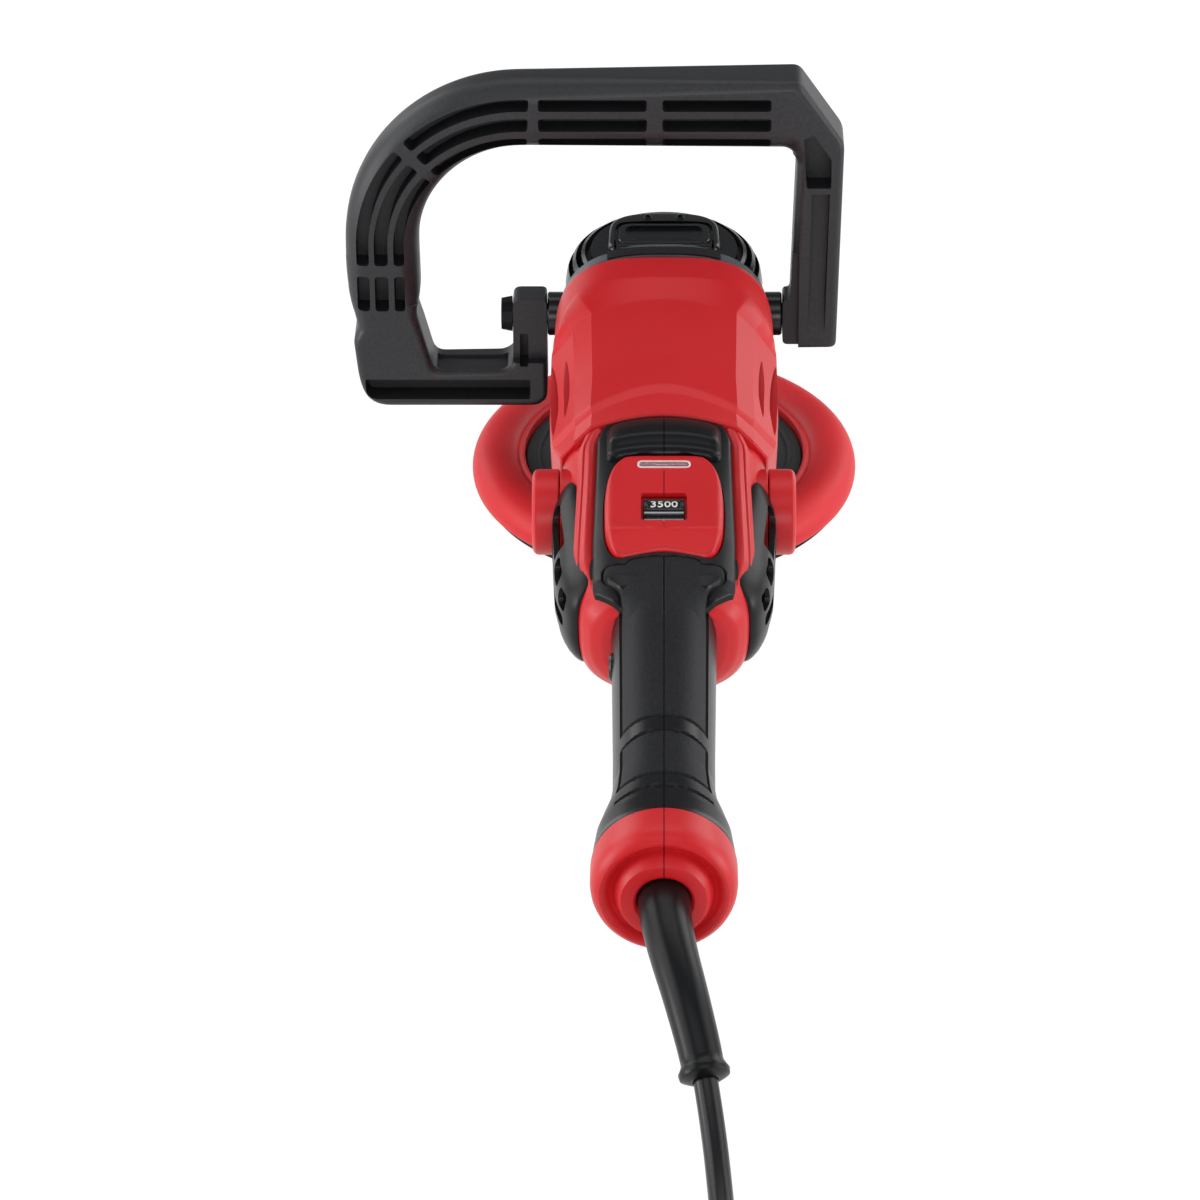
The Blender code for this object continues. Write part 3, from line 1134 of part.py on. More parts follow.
def band(row, first, last, count, ends=()):
    """A slot along the bend between two angles, which can run on to a pair of corners down the leg."""
    centre = (BAIL_LEFT + BAIL_BEND, BAIL_TOP - BAIL_BEND)
    bar, leg, half = row
    outer = bend(centre, BAIL_BEND - leg + half, first, last, count, 0, BAIL_BEND - bar + half)
    inner = bend(centre, BAIL_BEND - leg - half, last, first, count, 0, BAIL_BEND - bar - half)
    return [(u, v) for u, v, _ in outer] + list(ends) + [(u, v) for u, v, _ in inner]


def bail_slots():
    """Three rows of blind slots along the bar and the left leg, and the pockets of feet and right leg."""
    # each row: in from the bar's top, in from the leg's side, half width
    rows = ((9.0, 6.8, 2.4), (16.9, 13.8, 2.6), (24.6, 20.6, 2.0))
    slots = []
    for row in rows:
        bar, leg, half = row
        v = BAIL_TOP - bar
        for u0, u1 in ((-47.3, -6.4), (-0.6, 40.3)):
            slots.append([(u0, v - half), (u1, v - half), (u1, v + half), (u0, v + half)])
        u = BAIL_LEFT + leg
        slots.append(band(row, 87, 134.8, 5))
        slots.append(band(row, 139.2, 180, 5, ((u - half, 25), (u + half, 25))))
        slots.append([(u - half, 6), (u + half, 6), (u + half, 20.5), (u - half, 20.5)])
    edge = BAIL_RIGHT
    slots.append([(edge - 15.4, 77.3), (edge - 14.1, 57.2), (edge - 4.8, 57.2), (edge - 4.9, 69),
                  (edge - 11.6, 79)])
    slots.append([(edge - 12.2, 54.8), (edge - 13.1, 10), (edge - 6.5, 10), (edge - 5.3, 54.8)])
    slots.append([(BAIL_LEFT + 6.5, -31.4), (-BAIL_HUB - 6.5, -31.4), (-BAIL_HUB - 6.5, -23),
                  (BAIL_LEFT + 6.5, -23)])
    return slots


def make_bail_mounts():
    for side in (-1, 1):
        name = side_name(side)
        inner = HEAD_BOSS_END + GAP
        outer = BAIL_HUB - GAP + (0.5 if side > 0 else 0)
        collar("handle_spacer_" + name, BOLT_RADIUS + GAP, SPACER_RADIUS, side * inner, side * outer, "X",
               BLACK, (0, 0, BAIL_Z), 12)
        seat = BAIL_HUB + BAIL_EYE + GAP if side < 0 else BAIL_RIGHT - 9 + GAP
        tip = side * (HEAD_RADIUS - 1)
        turned("handle_bolt_" + name, [
            (0, tip), (BOLT_RADIUS, tip), (BOLT_RADIUS, side * seat), (BOLT_HEAD, side * seat),
            (BOLT_HEAD - 0.8, side * (seat + 4.2)), (0, side * (seat + 4.2))], STEEL, "X", (0, 0, BAIL_Z), 10)


# Cord, guard, coil and plug

def tube(name, points, radius, look, resolution):
    """A round tube along a chain of points, with filled ends."""
    data = bpy.data.curves.new(name, "CURVE")
    data.dimensions = "3D"
    data.bevel_depth = radius * METRE
    data.bevel_resolution = resolution
    data.use_fill_caps = True
    line = data.splines.new("POLY")
    line.points.add(len(points) - 1)
    for spot, place in zip(points, line.points):
        place.co = (*(Vector(spot) * METRE), 1)
    data.materials.append(look)
    made = bpy.data.objects.new(name, data)
    bpy.context.scene.collection.objects.link(made)
    return made


def smooth_route(route, step):
    """Points about one step apart on a smooth curve through the route's own points."""
    spots = [Vector(p) for p in route]
    spots = [2 * spots[0] - spots[1]] + spots + [2 * spots[-1] - spots[-2]]
    made = []
    for a, b, c, d in zip(spots, spots[1:], spots[2:], spots[3:]):
        pieces = max(1, round((c - b).length / step))
        for k in range(pieces):
            t = k / pieces
            made.append(0.5 * (2 * b + (c - a) * t + (2 * a - 5 * b + 4 * c - d) * t * t
                               + (3 * b - a - 3 * c + d) * t ** 3))
    made.append(spots[-2])
    return made


CORD_FLOOR = TIE_THICK + 2 * GAP + CORD_RADIUS
COIL_OUT = COIL_RADIUS + COIL_TURNS * COIL_PITCH / 2
COIL_TOP = CORD_FLOOR + (COIL_LAYERS - 1) * COIL_LAYER
COIL_JOIN = (COIL_CENTRE[0] + COIL_OUT, COIL_CENTRE[1], COIL_TOP)
CORD_ROUTE = (
    (0, -326, AXIS_Z), (0, -348, AXIS_Z), (0, -368, AXIS_Z), (0.4, -383, AXIS_Z - 0.4),
    (2.8, -399, AXIS_Z - 3.0), (7.2, -417, AXIS_Z - 9.0), (11.6, -434, AXIS_Z - 18.0),
    (14.6, -450, AXIS_Z - 27.5), (17.0, -470, AXIS_Z - 36.5), (18.4, -495, AXIS_Z - 42.5),
    (COIL_JOIN[0], COIL_JOIN[1] + 26, COIL_TOP + 0.6),
    (COIL_JOIN[0], COIL_JOIN[1] + 2 * CORD_RADIUS + GAP, COIL_TOP),
)


def make_cord():
    points = smooth_route(CORD_ROUTE, 2 * CORD_RADIUS + 6)
    tube("cord_lead", points, CORD_RADIUS, RUBBER, 2)
    make_guard(points)
    make_coil()


def make_guard(points):
    """The bend guard: a tapered sleeve along the cord, with a flange inside the cap and an end collar."""
    flange = CAVITY_RADIUS - GAP
    neck = CORD_HOLE - GAP
    seat = CAVITY_END + GAP
    spots = [(Vector((0, seat + GUARD_FLANGE, AXIS_Z)), flange), (Vector((0, seat, AXIS_Z)), flange),
             (Vector((0, seat - 0.1, AXIS_Z)), neck)]
    for p in points:
        if END_Y - 1 > p.y > GUARD_END_Y + 6:
            share = (END_Y - p.y) / (END_Y - GUARD_END_Y)
            spots.append((p, neck + (GUARD_TIP - neck) * share ** 0.8))
    for ahead, radius in ((4.6, GUARD_TIP), (4.0, GUARD_COLLAR), (0.9, GUARD_COLLAR), (0, GUARD_TIP)):
        spots.append((on_route(points, GUARD_END_Y + ahead), radius))
    count = 10
    outer, inner = [], []
    for i, (p, radius) in enumerate(spots):
        before = spots[max(0, i - 1)][0]
        after = spots[min(len(spots) - 1, i + 1)][0]
        forward = (after - before).normalized()
        across = forward.cross(Vector((0, 0, 1))).normalized()
        rise = across.cross(forward)
        turns = [2 * math.pi * k / count for k in range(count)]
        rim = [across * math.cos(a) + rise * math.sin(a) for a in turns]
        outer.append([p + radius * spoke for spoke in rim])
        inner.append([p + (CORD_RADIUS + CORD_BORE_GAP) * spoke for spoke in rim])
    loft("cord_guard", outer + inner[::-1], RUBBER, closed=True)


def on_route(points, y):
    for a, b in zip(points, points[1:]):
        if a.y >= y >= b.y:
            return a.lerp(b, (a.y - y) / (a.y - b.y))
    return points[-1]


def coil_points():
    """A flat coil wound clockwise from its top outer turn: in, down a layer, out, and so on."""
    steps = 24
    total = COIL_LAYERS * COIL_TURNS
    points = []
    for i in range(total * steps + 1):
        turn = i / steps
        layer, part = divmod(turn, COIL_TURNS)
        layer = min(layer, COIL_LAYERS - 1)
        part = turn - layer * COIL_TURNS
        inward_share = part if layer % 2 == 0 else COIL_TURNS - part
        radius = COIL_OUT - COIL_PITCH * inward_share
        drop = 0.0
        for change in range(1, COIL_LAYERS):
            t = min(1.0, max(0.0, (turn - change * COIL_TURNS) * 2 + 0.5))
            drop += t * t * (3 - 2 * t)
        a = -2 * math.pi * turn
        points.append(Vector((COIL_CENTRE[0] + radius * math.cos(a), COIL_CENTRE[1] + radius * math.sin(a),
                              COIL_TOP - COIL_LAYER * drop)))
    lead = points[0] + Vector((0, 2 * CORD_RADIUS, 0))
    tail = [points[-1] + Vector((0, -d, 0)) for d in (8.0, COIL_TAIL / 2, COIL_TAIL)]
    return [lead] + points + tail


def least_gap(points, steps=24):
    """Least clear distance between strands of the coil that aren't next to each other."""
    least = 1e9
    for i in range(len(points)):
        for j in range(i + steps // 2, len(points)):
            least = min(least, (points[i] - points[j]).length)
    return least - 2 * CORD_RADIUS


def make_coil():
    points = coil_points()
    tube("cord_coil", points, CORD_RADIUS, RUBBER, 1)
    print("cord_coil least gap to itself: %.2f mm" % least_gap(points))
    turns = COIL_LAYERS * COIL_TURNS
    print("cord_coil length: %.0f mm in %d turns" % (
        sum((b - a).length for a, b in zip(points, points[1:])), turns))
    curve = TIE_WIDTH ** 2 / (8 * (COIL_RADIUS - COIL_PITCH))
    drift = COIL_PITCH * TIE_WIDTH / (4 * math.pi * COIL_RADIUS)
    sag = curve + drift
    reach = (COIL_TURNS - 1) * COIL_PITCH / 2 + CORD_RADIUS + GAP + sag
    middle = COIL_CENTRE[0] - COIL_RADIUS
    low = CORD_FLOOR - CORD_RADIUS - GAP
    high = COIL_TOP + CORD_RADIUS + GAP
    rings = []
    for grow, y in ((0, -1), (TIE_THICK, -1), (TIE_THICK, 1), (0, 1)):
        half_x = reach + grow
        half_z = (high - low) / 2 + grow
        ring = [(middle + x, COIL_CENTRE[1] + y * TIE_WIDTH / 2, (high + low) / 2 + z)
                for x, z in oval_plate(half_x, half_z, CORD_RADIUS - 1 + grow, 3)]
        rings.append(ring)
    loft("cord_tie", rings, RUBBER, closed=True)
    make_plug(coil_points()[-1])


def make_plug(end):
    """A two-pin mains plug on the floor, in line with the coil's tail."""
    start = end.y - GAP
    middle = PLUG_HEIGHT / 2 + GAP
    rings = []
    for away, share in ((0, 0.42), (12, 0.5), (18, 0.85), (PLUG_LENGTH - 10, 1.0), (PLUG_LENGTH, 0.94)):
        z = end.z + (middle - end.z) * min(1.0, away / 18)
        rings.append([(end.x + x, start - away, z + h) for x, h in
                      oval_plate(PLUG_HALF * share, PLUG_HEIGHT / 2 * max(share, 0.55), 3.5, 3)])
    plug = loft("plug", rings, RUBBER)
    for side in (-1, 1):
        face = start - PLUG_LENGTH
        pin = turned("plug_pin_%d" % side, [
            (0, face + 3), (PIN_RADIUS, face + 3), (PIN_RADIUS, face - PIN_LENGTH + 1.5),
            (PIN_RADIUS - 1, face - PIN_LENGTH), (0, face - PIN_LENGTH)], None, "Y",
            (end.x + side * PIN_SPACING / 2, 0, middle), 8)
        add(plug, pin)


def main():
    make_pad()
    make_spindle()
    make_gears()
    make_gear_case()
    make_head_cover()
    make_head_fittings()
    make_armature()
    make_stator()
    make_brush_gear()
    make_motor_housing()
    for side in (-1, 1):
        make_shell(side)
        make_grip(side)
        make_top_panel(side)
        make_pod(side)
    make_lens()
    dial_z = make_dial()
    make_controller(dial_z)
    make_trigger()
    make_switch()
    make_bail()
    make_bail_mounts()
    make_cord()


main()
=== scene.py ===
# %% [markdown]
# # A corded rotary polisher
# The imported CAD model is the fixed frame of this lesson. Every cell below dresses one part of it:
# a red nylon body, a black bail handle, a rubber grip, a foam pad on a spindle, and a coiled lead.
# Shapes are worked out with numpy as grids of points, in millimetres, and are turned to metres once,
# where they become a mesh.

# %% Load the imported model
import math

import bmesh
import bpy
import numpy as np
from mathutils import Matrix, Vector


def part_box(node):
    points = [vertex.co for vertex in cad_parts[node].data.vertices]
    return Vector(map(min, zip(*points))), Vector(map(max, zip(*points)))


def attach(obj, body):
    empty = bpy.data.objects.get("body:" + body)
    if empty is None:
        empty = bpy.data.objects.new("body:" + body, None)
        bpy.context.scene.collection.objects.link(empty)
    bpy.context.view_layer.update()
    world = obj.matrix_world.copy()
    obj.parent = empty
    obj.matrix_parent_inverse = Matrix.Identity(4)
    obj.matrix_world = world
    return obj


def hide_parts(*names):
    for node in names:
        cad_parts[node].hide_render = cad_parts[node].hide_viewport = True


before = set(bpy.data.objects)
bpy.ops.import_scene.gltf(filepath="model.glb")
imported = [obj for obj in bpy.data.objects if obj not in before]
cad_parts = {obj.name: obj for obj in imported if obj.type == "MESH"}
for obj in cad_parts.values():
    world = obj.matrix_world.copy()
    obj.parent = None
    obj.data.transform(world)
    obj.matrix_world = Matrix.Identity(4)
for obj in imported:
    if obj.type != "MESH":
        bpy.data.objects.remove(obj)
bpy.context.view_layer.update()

# %% [markdown]
# ## From grids of points to pieces
# A surface here is an array with rows and columns of points. Neighbouring points make the quads, a ring
# of columns can close on itself, and the first and last rows can be filled. Doing this with whole arrays
# keeps the formula of a shape in one place, where a modelling tool would spread it over many clicks.

# %% Helpers for meshes
MM = 0.001


def skin(grid, ring=True, fill=True, loop=False):
    """The points of a (rows, columns, 3) grid and its quads. ring joins the last column to the first,
    loop joins the last row to the first, and fill closes the two end rows with one face each."""
    rows, columns = grid.shape[:2]
    index = np.arange(rows * columns).reshape(rows, columns)
    if loop:
        index = np.vstack([index, index[:1]])
    if ring:
        index = np.hstack([index, index[:, :1]])
    quads = np.stack([index[:-1, :-1], index[:-1, 1:], index[1:, 1:], index[1:, :-1]], -1)
    faces = quads.reshape(-1, 4).tolist()
    if fill and ring and not loop:
        faces += [index[0, -2::-1].tolist(), index[-1, :-1].tolist()]
    return grid.reshape(-1, 3), faces


def together(*parts):
    """Several (points, faces) pairs as one pair, each set of face numbers moved past the points before it."""
    starts = np.cumsum([0] + [len(points) for points, _ in parts])
    faces = [[i + start for i in face] for start, (_, some) in zip(starts, parts) for face in some]
    return np.vstack([points for points, _ in parts]), faces


def piece(name, shape, look, body="housing", stands_for=(), sharp=32, round_mm=0.0, steps=2):
    """A (points, faces) pair in mm becomes an object that rides on a body. Edges sharper than an angle in
    degrees stay sharp, and round_mm rounds them with a Bevel whose flats keep their own shading."""
    data = bpy.data.meshes.new(name)
    data.from_pydata((np.asarray(shape[0], float) * MM).tolist(), [], shape[1])
    made = bpy.data.objects.new(name, data)
    bpy.context.scene.collection.objects.link(made)
    tidy(made, sharp)
    made.data.materials.append(look)
    if round_mm:
        soften(made, round_mm, steps)
    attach(made, body)
    if stands_for:
        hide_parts(*stands_for)
    return made


def tidy(made, sharp=32):
    """Merges doubled points, turns the faces outwards and marks edges sharper than an angle as sharp."""
    work = bmesh.new()
    work.from_mesh(made.data)
    bmesh.ops.remove_doubles(work, verts=work.verts, dist=1e-6)
    bmesh.ops.dissolve_degenerate(work, dist=1e-7, edges=work.edges)
    bmesh.ops.recalc_face_normals(work, faces=work.faces)
    work.to_mesh(made.data)
    work.free()
    made.data.polygons.foreach_set("use_smooth", np.ones(len(made.data.polygons), bool))
    made.data.set_sharp_from_angle(angle=math.radians(sharp))


def soften(made, round_mm, steps=2, angle=32):
    """A live Bevel on edges past an angle, and weighted normals so that flat faces stay flat to the eye."""
    bevel = made.modifiers.new("rounded edges", "BEVEL")
    bevel.width = round_mm * MM
    bevel.segments = steps
    bevel.limit_method = "ANGLE"
    bevel.angle_limit = math.radians(angle)
    bevel.use_clamp_overlap = True
    made.modifiers.new("flat shading", "WEIGHTED_NORMAL").keep_sharp = True


def carve(shape, cuts, how="DIFFERENCE"):
    """Cuts closed shapes out of a closed shape with an exact Boolean, or joins them to it, and gives the
    new points and faces in mm."""
    made = [bpy.data.objects.new("carving", bpy.data.meshes.new("carving")) for _ in range(2)]
    for one, (points, faces) in zip(made, (shape, cuts)):
        one.data.from_pydata((np.asarray(points, float) * MM).tolist(), [], faces)
        bpy.context.scene.collection.objects.link(one)
        tidy(one)
    cutter = made[0].modifiers.new("cut", "BOOLEAN")
    cutter.operation, cutter.solver, cutter.object = how, "EXACT", made[1]
    cutter.use_self = how == "UNION"
    bpy.context.view_layer.update()
    result = made[0].evaluated_get(bpy.context.evaluated_depsgraph_get()).to_mesh()
    points = np.empty(len(result.vertices) * 3)
    result.vertices.foreach_get("co", points)
    faces = [list(face.vertices) for face in result.polygons]
    made[0].evaluated_get(bpy.context.evaluated_depsgraph_get()).to_mesh_clear()
    for one in made:
        data = one.data
        bpy.data.objects.remove(one)
        bpy.data.meshes.remove(data)
    return points.reshape(-1, 3) / MM, faces


print("helpers ready")

# %% [markdown]
# ## Camera, light and floor
# The photograph looks down on the tool from behind, at about 34 degrees, with a long lens. The camera was
# fitted to the pad's ellipse and the ends of the handle. Soft boxes and low strips stand left and right, so
# that the chamfers are brighter than the flat top. Two rim lamps behind draw the edges, a lamp over the gear
# head gives the sloped bands a sheen, and two weak lamps by the camera keep the rear faces readable.

# %% Camera
camera = bpy.data.objects.new("camera", bpy.data.cameras.new("camera"))
bpy.context.scene.collection.objects.link(camera)
bpy.context.scene.camera = camera
camera.location = (0, -1.6961, 1.0698)
camera.rotation_euler = (math.radians(90 - 33.584), 0, 0)
camera.data.lens = 153
camera.data.sensor_width = 36
camera.data.shift_x = -64 / 1200
camera.data.clip_start, camera.data.clip_end = 0.05, 50
bpy.context.scene.view_settings.view_transform = "Standard"
print("camera", tuple(round(v, 3) for v in camera.location))

# %% One function for nodes and one for colours


def node(tree, kind, inputs=(), **settings):
    """Adds a node, sets its properties, and sets or links the inputs, given as a dict by name or number."""
    made = tree.nodes.new(kind)
    for key, value in settings.items():
        setattr(made, key, value)
    for key, value in dict(inputs).items():
        if isinstance(value, bpy.types.NodeSocket):
            tree.links.new(value, made.inputs[key])
        else:
            made.inputs[key].default_value = value
    return made


def colour(code):
    """An sRGB hex code as linear red, green, blue and alpha."""
    shares = np.array([int(code[i:i + 2], 16) for i in (1, 3, 5)]) / 255
    linear = np.where(shares <= 0.04045, shares / 12.92, ((shares + 0.055) / 1.055) ** 2.4)
    return (*linear.tolist(), 1.0)


# %% Lamps and world
LAMPS = {
    "soft_box_left": ((-1.5, -0.25, 0.75), (1.3, 1.5), 14),
    "soft_box_right": ((1.5, -0.25, 0.75), (1.3, 1.5), 11),
    "low_strip_left": ((-1.6, -0.6, 0.25), (1.0, 0.5), 8),
    "low_strip_right": ((1.6, -0.6, 0.25), (1.0, 0.5), 8),
    "rim_left": ((-1.3, 1.1, 0.8), (1.0, 1.0), 9),
    "rim_right": ((1.3, 1.1, 0.8), (1.0, 1.0), 9),
    "over_head": ((0, 0.45, 1.5), (1.4, 0.7), 5),
    "over_camera": ((0, -0.95, 1.6), (1.4, 0.7), 4.5),
    "front_fill": ((0, -1.9, 0.55), (1.2, 0.6), 11),
}
AIM = Vector((0, -0.15, 0.07))
for lamp_name, (spot, size, watts) in LAMPS.items():
    lamp = bpy.data.objects.new(lamp_name, bpy.data.lights.new(lamp_name, "AREA"))
    lamp.data.shape = "RECTANGLE"
    lamp.data.size, lamp.data.size_y = size
    lamp.data.energy = watts
    lamp.location = spot
    lamp.rotation_euler = (AIM - lamp.location).to_track_quat("-Z", "Y").to_euler()
    bpy.context.scene.collection.objects.link(lamp)

world = bpy.data.worlds.new("studio")
bpy.context.scene.world = world
world.use_nodes = True
sky = world.node_tree
sky.nodes.clear()
ray = node(sky, "ShaderNodeLightPath")
straight = node(sky, "ShaderNodeMath", {0: ray.outputs["Is Camera Ray"],
                                        1: ray.outputs["Is Transmission Ray"]}, operation="MAXIMUM")
# a black flag by the camera keeps reflections of the near side dark, as in the photograph
direction = node(sky, "ShaderNodeSeparateXYZ", {0: node(sky, "ShaderNodeTexCoord").outputs["Generated"]})
flag = node(sky, "ShaderNodeMapRange", {"Value": direction.outputs["Y"], "From Min": -0.75, "From Max": 0.1,
                                        "To Min": 0.03, "To Max": 0.12})
mirrored = node(sky, "ShaderNodeMath", {0: ray.outputs["Is Glossy Ray"], 1: flag.outputs["Result"]},
                operation="MULTIPLY")
shown = node(sky, "ShaderNodeMath", {0: straight.outputs[0], 1: mirrored.outputs[0]}, operation="ADD",
             use_clamp=True)
dim = node(sky, "ShaderNodeBackground", {"Color": colour("#c8ccd0"), "Strength": 0.2})
white = node(sky, "ShaderNodeBackground", {"Color": (1, 1, 1, 1), "Strength": 1.0})
both = node(sky, "ShaderNodeMixShader", {0: shown.outputs[0], 1: dim.outputs[0], 2: white.outputs[0]})
node(sky, "ShaderNodeOutputWorld", {"Surface": both.outputs[0]})

# %% Floor
FLOOR_REACH = 8.0
floor_data = bpy.data.meshes.new("floor")
floor_data.from_pydata([(-FLOOR_REACH, -FLOOR_REACH, 0), (FLOOR_REACH, -FLOOR_REACH, 0),
                        (FLOOR_REACH, FLOOR_REACH, 0), (-FLOOR_REACH, FLOOR_REACH, 0)], [], [(0, 1, 2, 3)])
floor = bpy.data.objects.new("floor", floor_data)
bpy.context.scene.collection.objects.link(floor)
floor_paper = bpy.data.materials.new("white_paper_sweep")
floor_paper.use_nodes = True
tree = floor_paper.node_tree
tree.nodes.clear()
ray = node(tree, "ShaderNodeLightPath")
seen = node(tree, "ShaderNodeMath", {0: ray.outputs["Is Camera Ray"], 1: ray.outputs["Is Transmission Ray"]},
            operation="MAXIMUM")
seen = node(tree, "ShaderNodeMath", {0: seen.outputs[0], 1: ray.outputs["Is Glossy Ray"]}, operation="MAXIMUM")
share = node(tree, "ShaderNodeMath", {0: seen.outputs[0], 1: 0.86}, operation="MULTIPLY")
paper = node(tree, "ShaderNodeBsdfDiffuse", {"Color": colour("#f2f2f2")})
glow = node(tree, "ShaderNodeEmission", {"Color": (1, 1, 1, 1), "Strength": 1.09})
mixed = node(tree, "ShaderNodeMixShader", {0: share.outputs[0], 1: paper.outputs[0], 2: glow.outputs[0]})
node(tree, "ShaderNodeOutputMaterial", {"Surface": mixed.outputs[0]})
floor_data.materials.append(floor_paper)
print("lamps", len(LAMPS))

# %% [markdown]
# ## Finishes
# Nearly everything that shows is moulded. A moulded plastic carries the fine spark-eroded grain of its
# steel mould, a slight mottle where the melt flowed, and a gloss that the grain breaks up. One function
# builds that skin from a few real sizes, and each material says what plastic or rubber it is.
# Patterns use Object coordinates, because every mesh keeps its place in its points.

# %% Moulded skins


def blank(name):
    """A new material with its node tree, its Principled shader and its Object coordinates."""
    made = bpy.data.materials.new(name)
    made.use_nodes = True
    tree = made.node_tree
    return made, tree, tree.nodes["Principled BSDF"], node(tree, "ShaderNodeTexCoord").outputs["Object"]


def moulded(name, deep, pale, rough, grain_mm, relief_mm, gloss=0.5, fleck=0.0, flow_mm=45.0):
    """Moulded skin: colour drifts between two shades over flow_mm and, by the share fleck, with the grain;
    noise of grain_mm lifts the surface by relief_mm and makes the gloss uneven by a tenth."""
    made, tree, shader, place = blank(name)
    flow = node(tree, "ShaderNodeTexNoise", {"Vector": place, "Scale": 1 / (flow_mm * MM), "Detail": 1.0})
    grain = node(tree, "ShaderNodeTexNoise", {"Vector": place, "Scale": 1 / (grain_mm * MM), "Detail": 2.0})
    tint = node(tree, "ShaderNodeMix", {0: fleck, 2: flow.outputs["Fac"], 3: grain.outputs["Fac"]})
    tint = node(tree, "ShaderNodeMapRange", {"Value": tint.outputs[0], "From Min": 0.3, "From Max": 0.7})
    tone = node(tree, "ShaderNodeMix", {0: tint.outputs[0], 6: colour(deep), 7: colour(pale)}, data_type="RGBA")
    uneven = node(tree, "ShaderNodeMapRange", {"Value": grain.outputs["Fac"], "To Min": rough - 0.05,
                                               "To Max": rough + 0.05})
    bump = node(tree, "ShaderNodeBump", {"Height": grain.outputs["Fac"], "Distance": relief_mm * MM,
                                         "Strength": 1.0})
    for socket, value in (("Base Color", tone.outputs[2]), ("Roughness", uneven.outputs[0]),
                          ("Normal", bump.outputs[0])):
        tree.links.new(value, shader.inputs[socket])
    shader.inputs["Specular IOR Level"].default_value = gloss
    shader.inputs["IOR"].default_value = 1.5
    return made


# glass-filled nylon, moulded in a lightly eroded mould: a satin red with soft broad highlights
RED_NYLON = moulded("red_glass_filled_nylon", "#C0141B", "#C7191F", 0.40, 0.9, 0.010, 0.36)
# the same nylon in black for the handle: pale fibre ends fleck its skin; drawn at 1 mm so that they show
BLACK_NYLON = moulded("black_glass_filled_nylon", "#141518", "#242529", 0.46, 1.0, 0.035, 0.45, 0.8)
# black ABS of the gear head's guard: smoother mould, so a sharper gloss
BLACK_ABS = moulded("black_abs", "#0B0C0E", "#101114", 0.26, 0.8, 0.006, 0.45)
# polypropylene of the intake covers: a waxy plastic with a weaker gloss
BLACK_PP = moulded("black_polypropylene", "#0B0C0E", "#101114", 0.34, 0.8, 0.006, 0.22)
# soft thermoplastic rubber over the handle: a deep eroded grain, drawn at 1.1 mm so that it shows
GRIP_RUBBER = moulded("textured_grip_rubber", "#0E0F12", "#1C1D21", 0.52, 1.1, 0.09, 0.2, 0.9)
# the same rubber where the mould was polished: panel, bumper, plain bands of the grip
SMOOTH_RUBBER = moulded("smooth_soft_rubber", "#090A0C", "#0D0E11", 0.32, 1.4, 0.008, 0.22)
# flexible PVC of the lead and its bend guard: smooth, a little oily
CORD_PVC = moulded("black_pvc", "#0B0C0E", "#101114", 0.30, 2.5, 0.010, 0.35)
# die-cast aluminium under dark grey paint: the orange peel of the paint is about 2 mm across
CAST_PAINT = moulded("painted_die_casting", "#4A4D50", "#54575A", 0.38, 2.0, 0.012, 0.5)
# fibre-filled plate of the pad: dull black with a coarse moulded skin
PAD_PLATE = moulded("fibre_filled_plate", "#1E2022", "#2B2E31", 0.55, 1.5, 0.05, 0.4, 0.7)
# integral-skin polyurethane foam: red through and through, a dense skin with fine pores
PAD_FOAM = moulded("red_integral_skin_foam", "#CC1C23", "#D6282E", 0.50, 1.3, 0.03, 0.35, 0.4)
# nylon hooks of the pad's face, seen as a dark bristle
HOOKS = moulded("hook_tape", "#141416", "#303136", 0.85, 1.2, 0.6, 0.2, 1.0)
# pressed carbon of the brushes, dusty and dull
CARBON = moulded("pressed_carbon", "#1A1A1B", "#242426", 0.8, 0.5, 0.02, 0.2, 0.5)
# white paint in the engraved numbers of the dial
DIAL_PAINT = moulded("white_dial_paint", "#E6E4DE", "#F0EEE8", 0.5, 0.4, 0.004)
# painted highlight: two pale silver bars on the dial wheel stand for the glints of its ribs
RIB_GLINT_PAINT = moulded("painted_rib_highlight", "#8E9094", "#A2A4A8", 0.4, 0.4, 0.004)
# frosted edge of the status lens: polycarbonate that spreads the lamp's light
FROSTED = moulded("frosted_polycarbonate", "#DCC4C4", "#E6D2D2", 0.35, 0.6, 0.004)
print("moulded finishes ready")

# %% Metals, glass-fibre board and the clear lens


def turned_metal(name, deep, pale, rough, scratch_mm):
    """Machined metal: fine scratches of scratch_mm, stretched ten times across, shift tone and gloss."""
    made, tree, shader, place = blank(name)
    stretch = node(tree, "ShaderNodeMapping", {"Vector": place, "Scale": (1.0, 1.0, 10.0)})
    lines = node(tree, "ShaderNodeTexNoise", {"Vector": stretch.outputs[0], "Scale": 0.1 / (scratch_mm * MM),
                                              "Detail": 3.0})
    tone = node(tree, "ShaderNodeMix", {0: lines.outputs["Fac"], 6: colour(deep), 7: colour(pale)},
                data_type="RGBA")
    uneven = node(tree, "ShaderNodeMapRange", {"Value": lines.outputs["Fac"], "To Min": rough - 0.08,
                                               "To Max": rough + 0.08})
    tree.links.new(tone.outputs[2], shader.inputs["Base Color"])
    tree.links.new(uneven.outputs[0], shader.inputs["Roughness"])
    shader.inputs["Metallic"].default_value = 1.0
    return made


STEEL = turned_metal("zinc_plated_steel", "#9FA2A6", "#C9CCCF", 0.28, 0.5)
BLACK_STEEL = turned_metal("black_oxide_steel", "#1C1D1F", "#2A2B2E", 0.45, 0.5)
LAMINATION = turned_metal("lamination_steel", "#4E5054", "#6A6C70", 0.5, 0.5)
COPPER = turned_metal("enamelled_copper_wire", "#9C4F2A", "#C77B47", 0.3, 0.6)
BRASS = turned_metal("brass", "#A5853C", "#CDAE62", 0.32, 0.6)

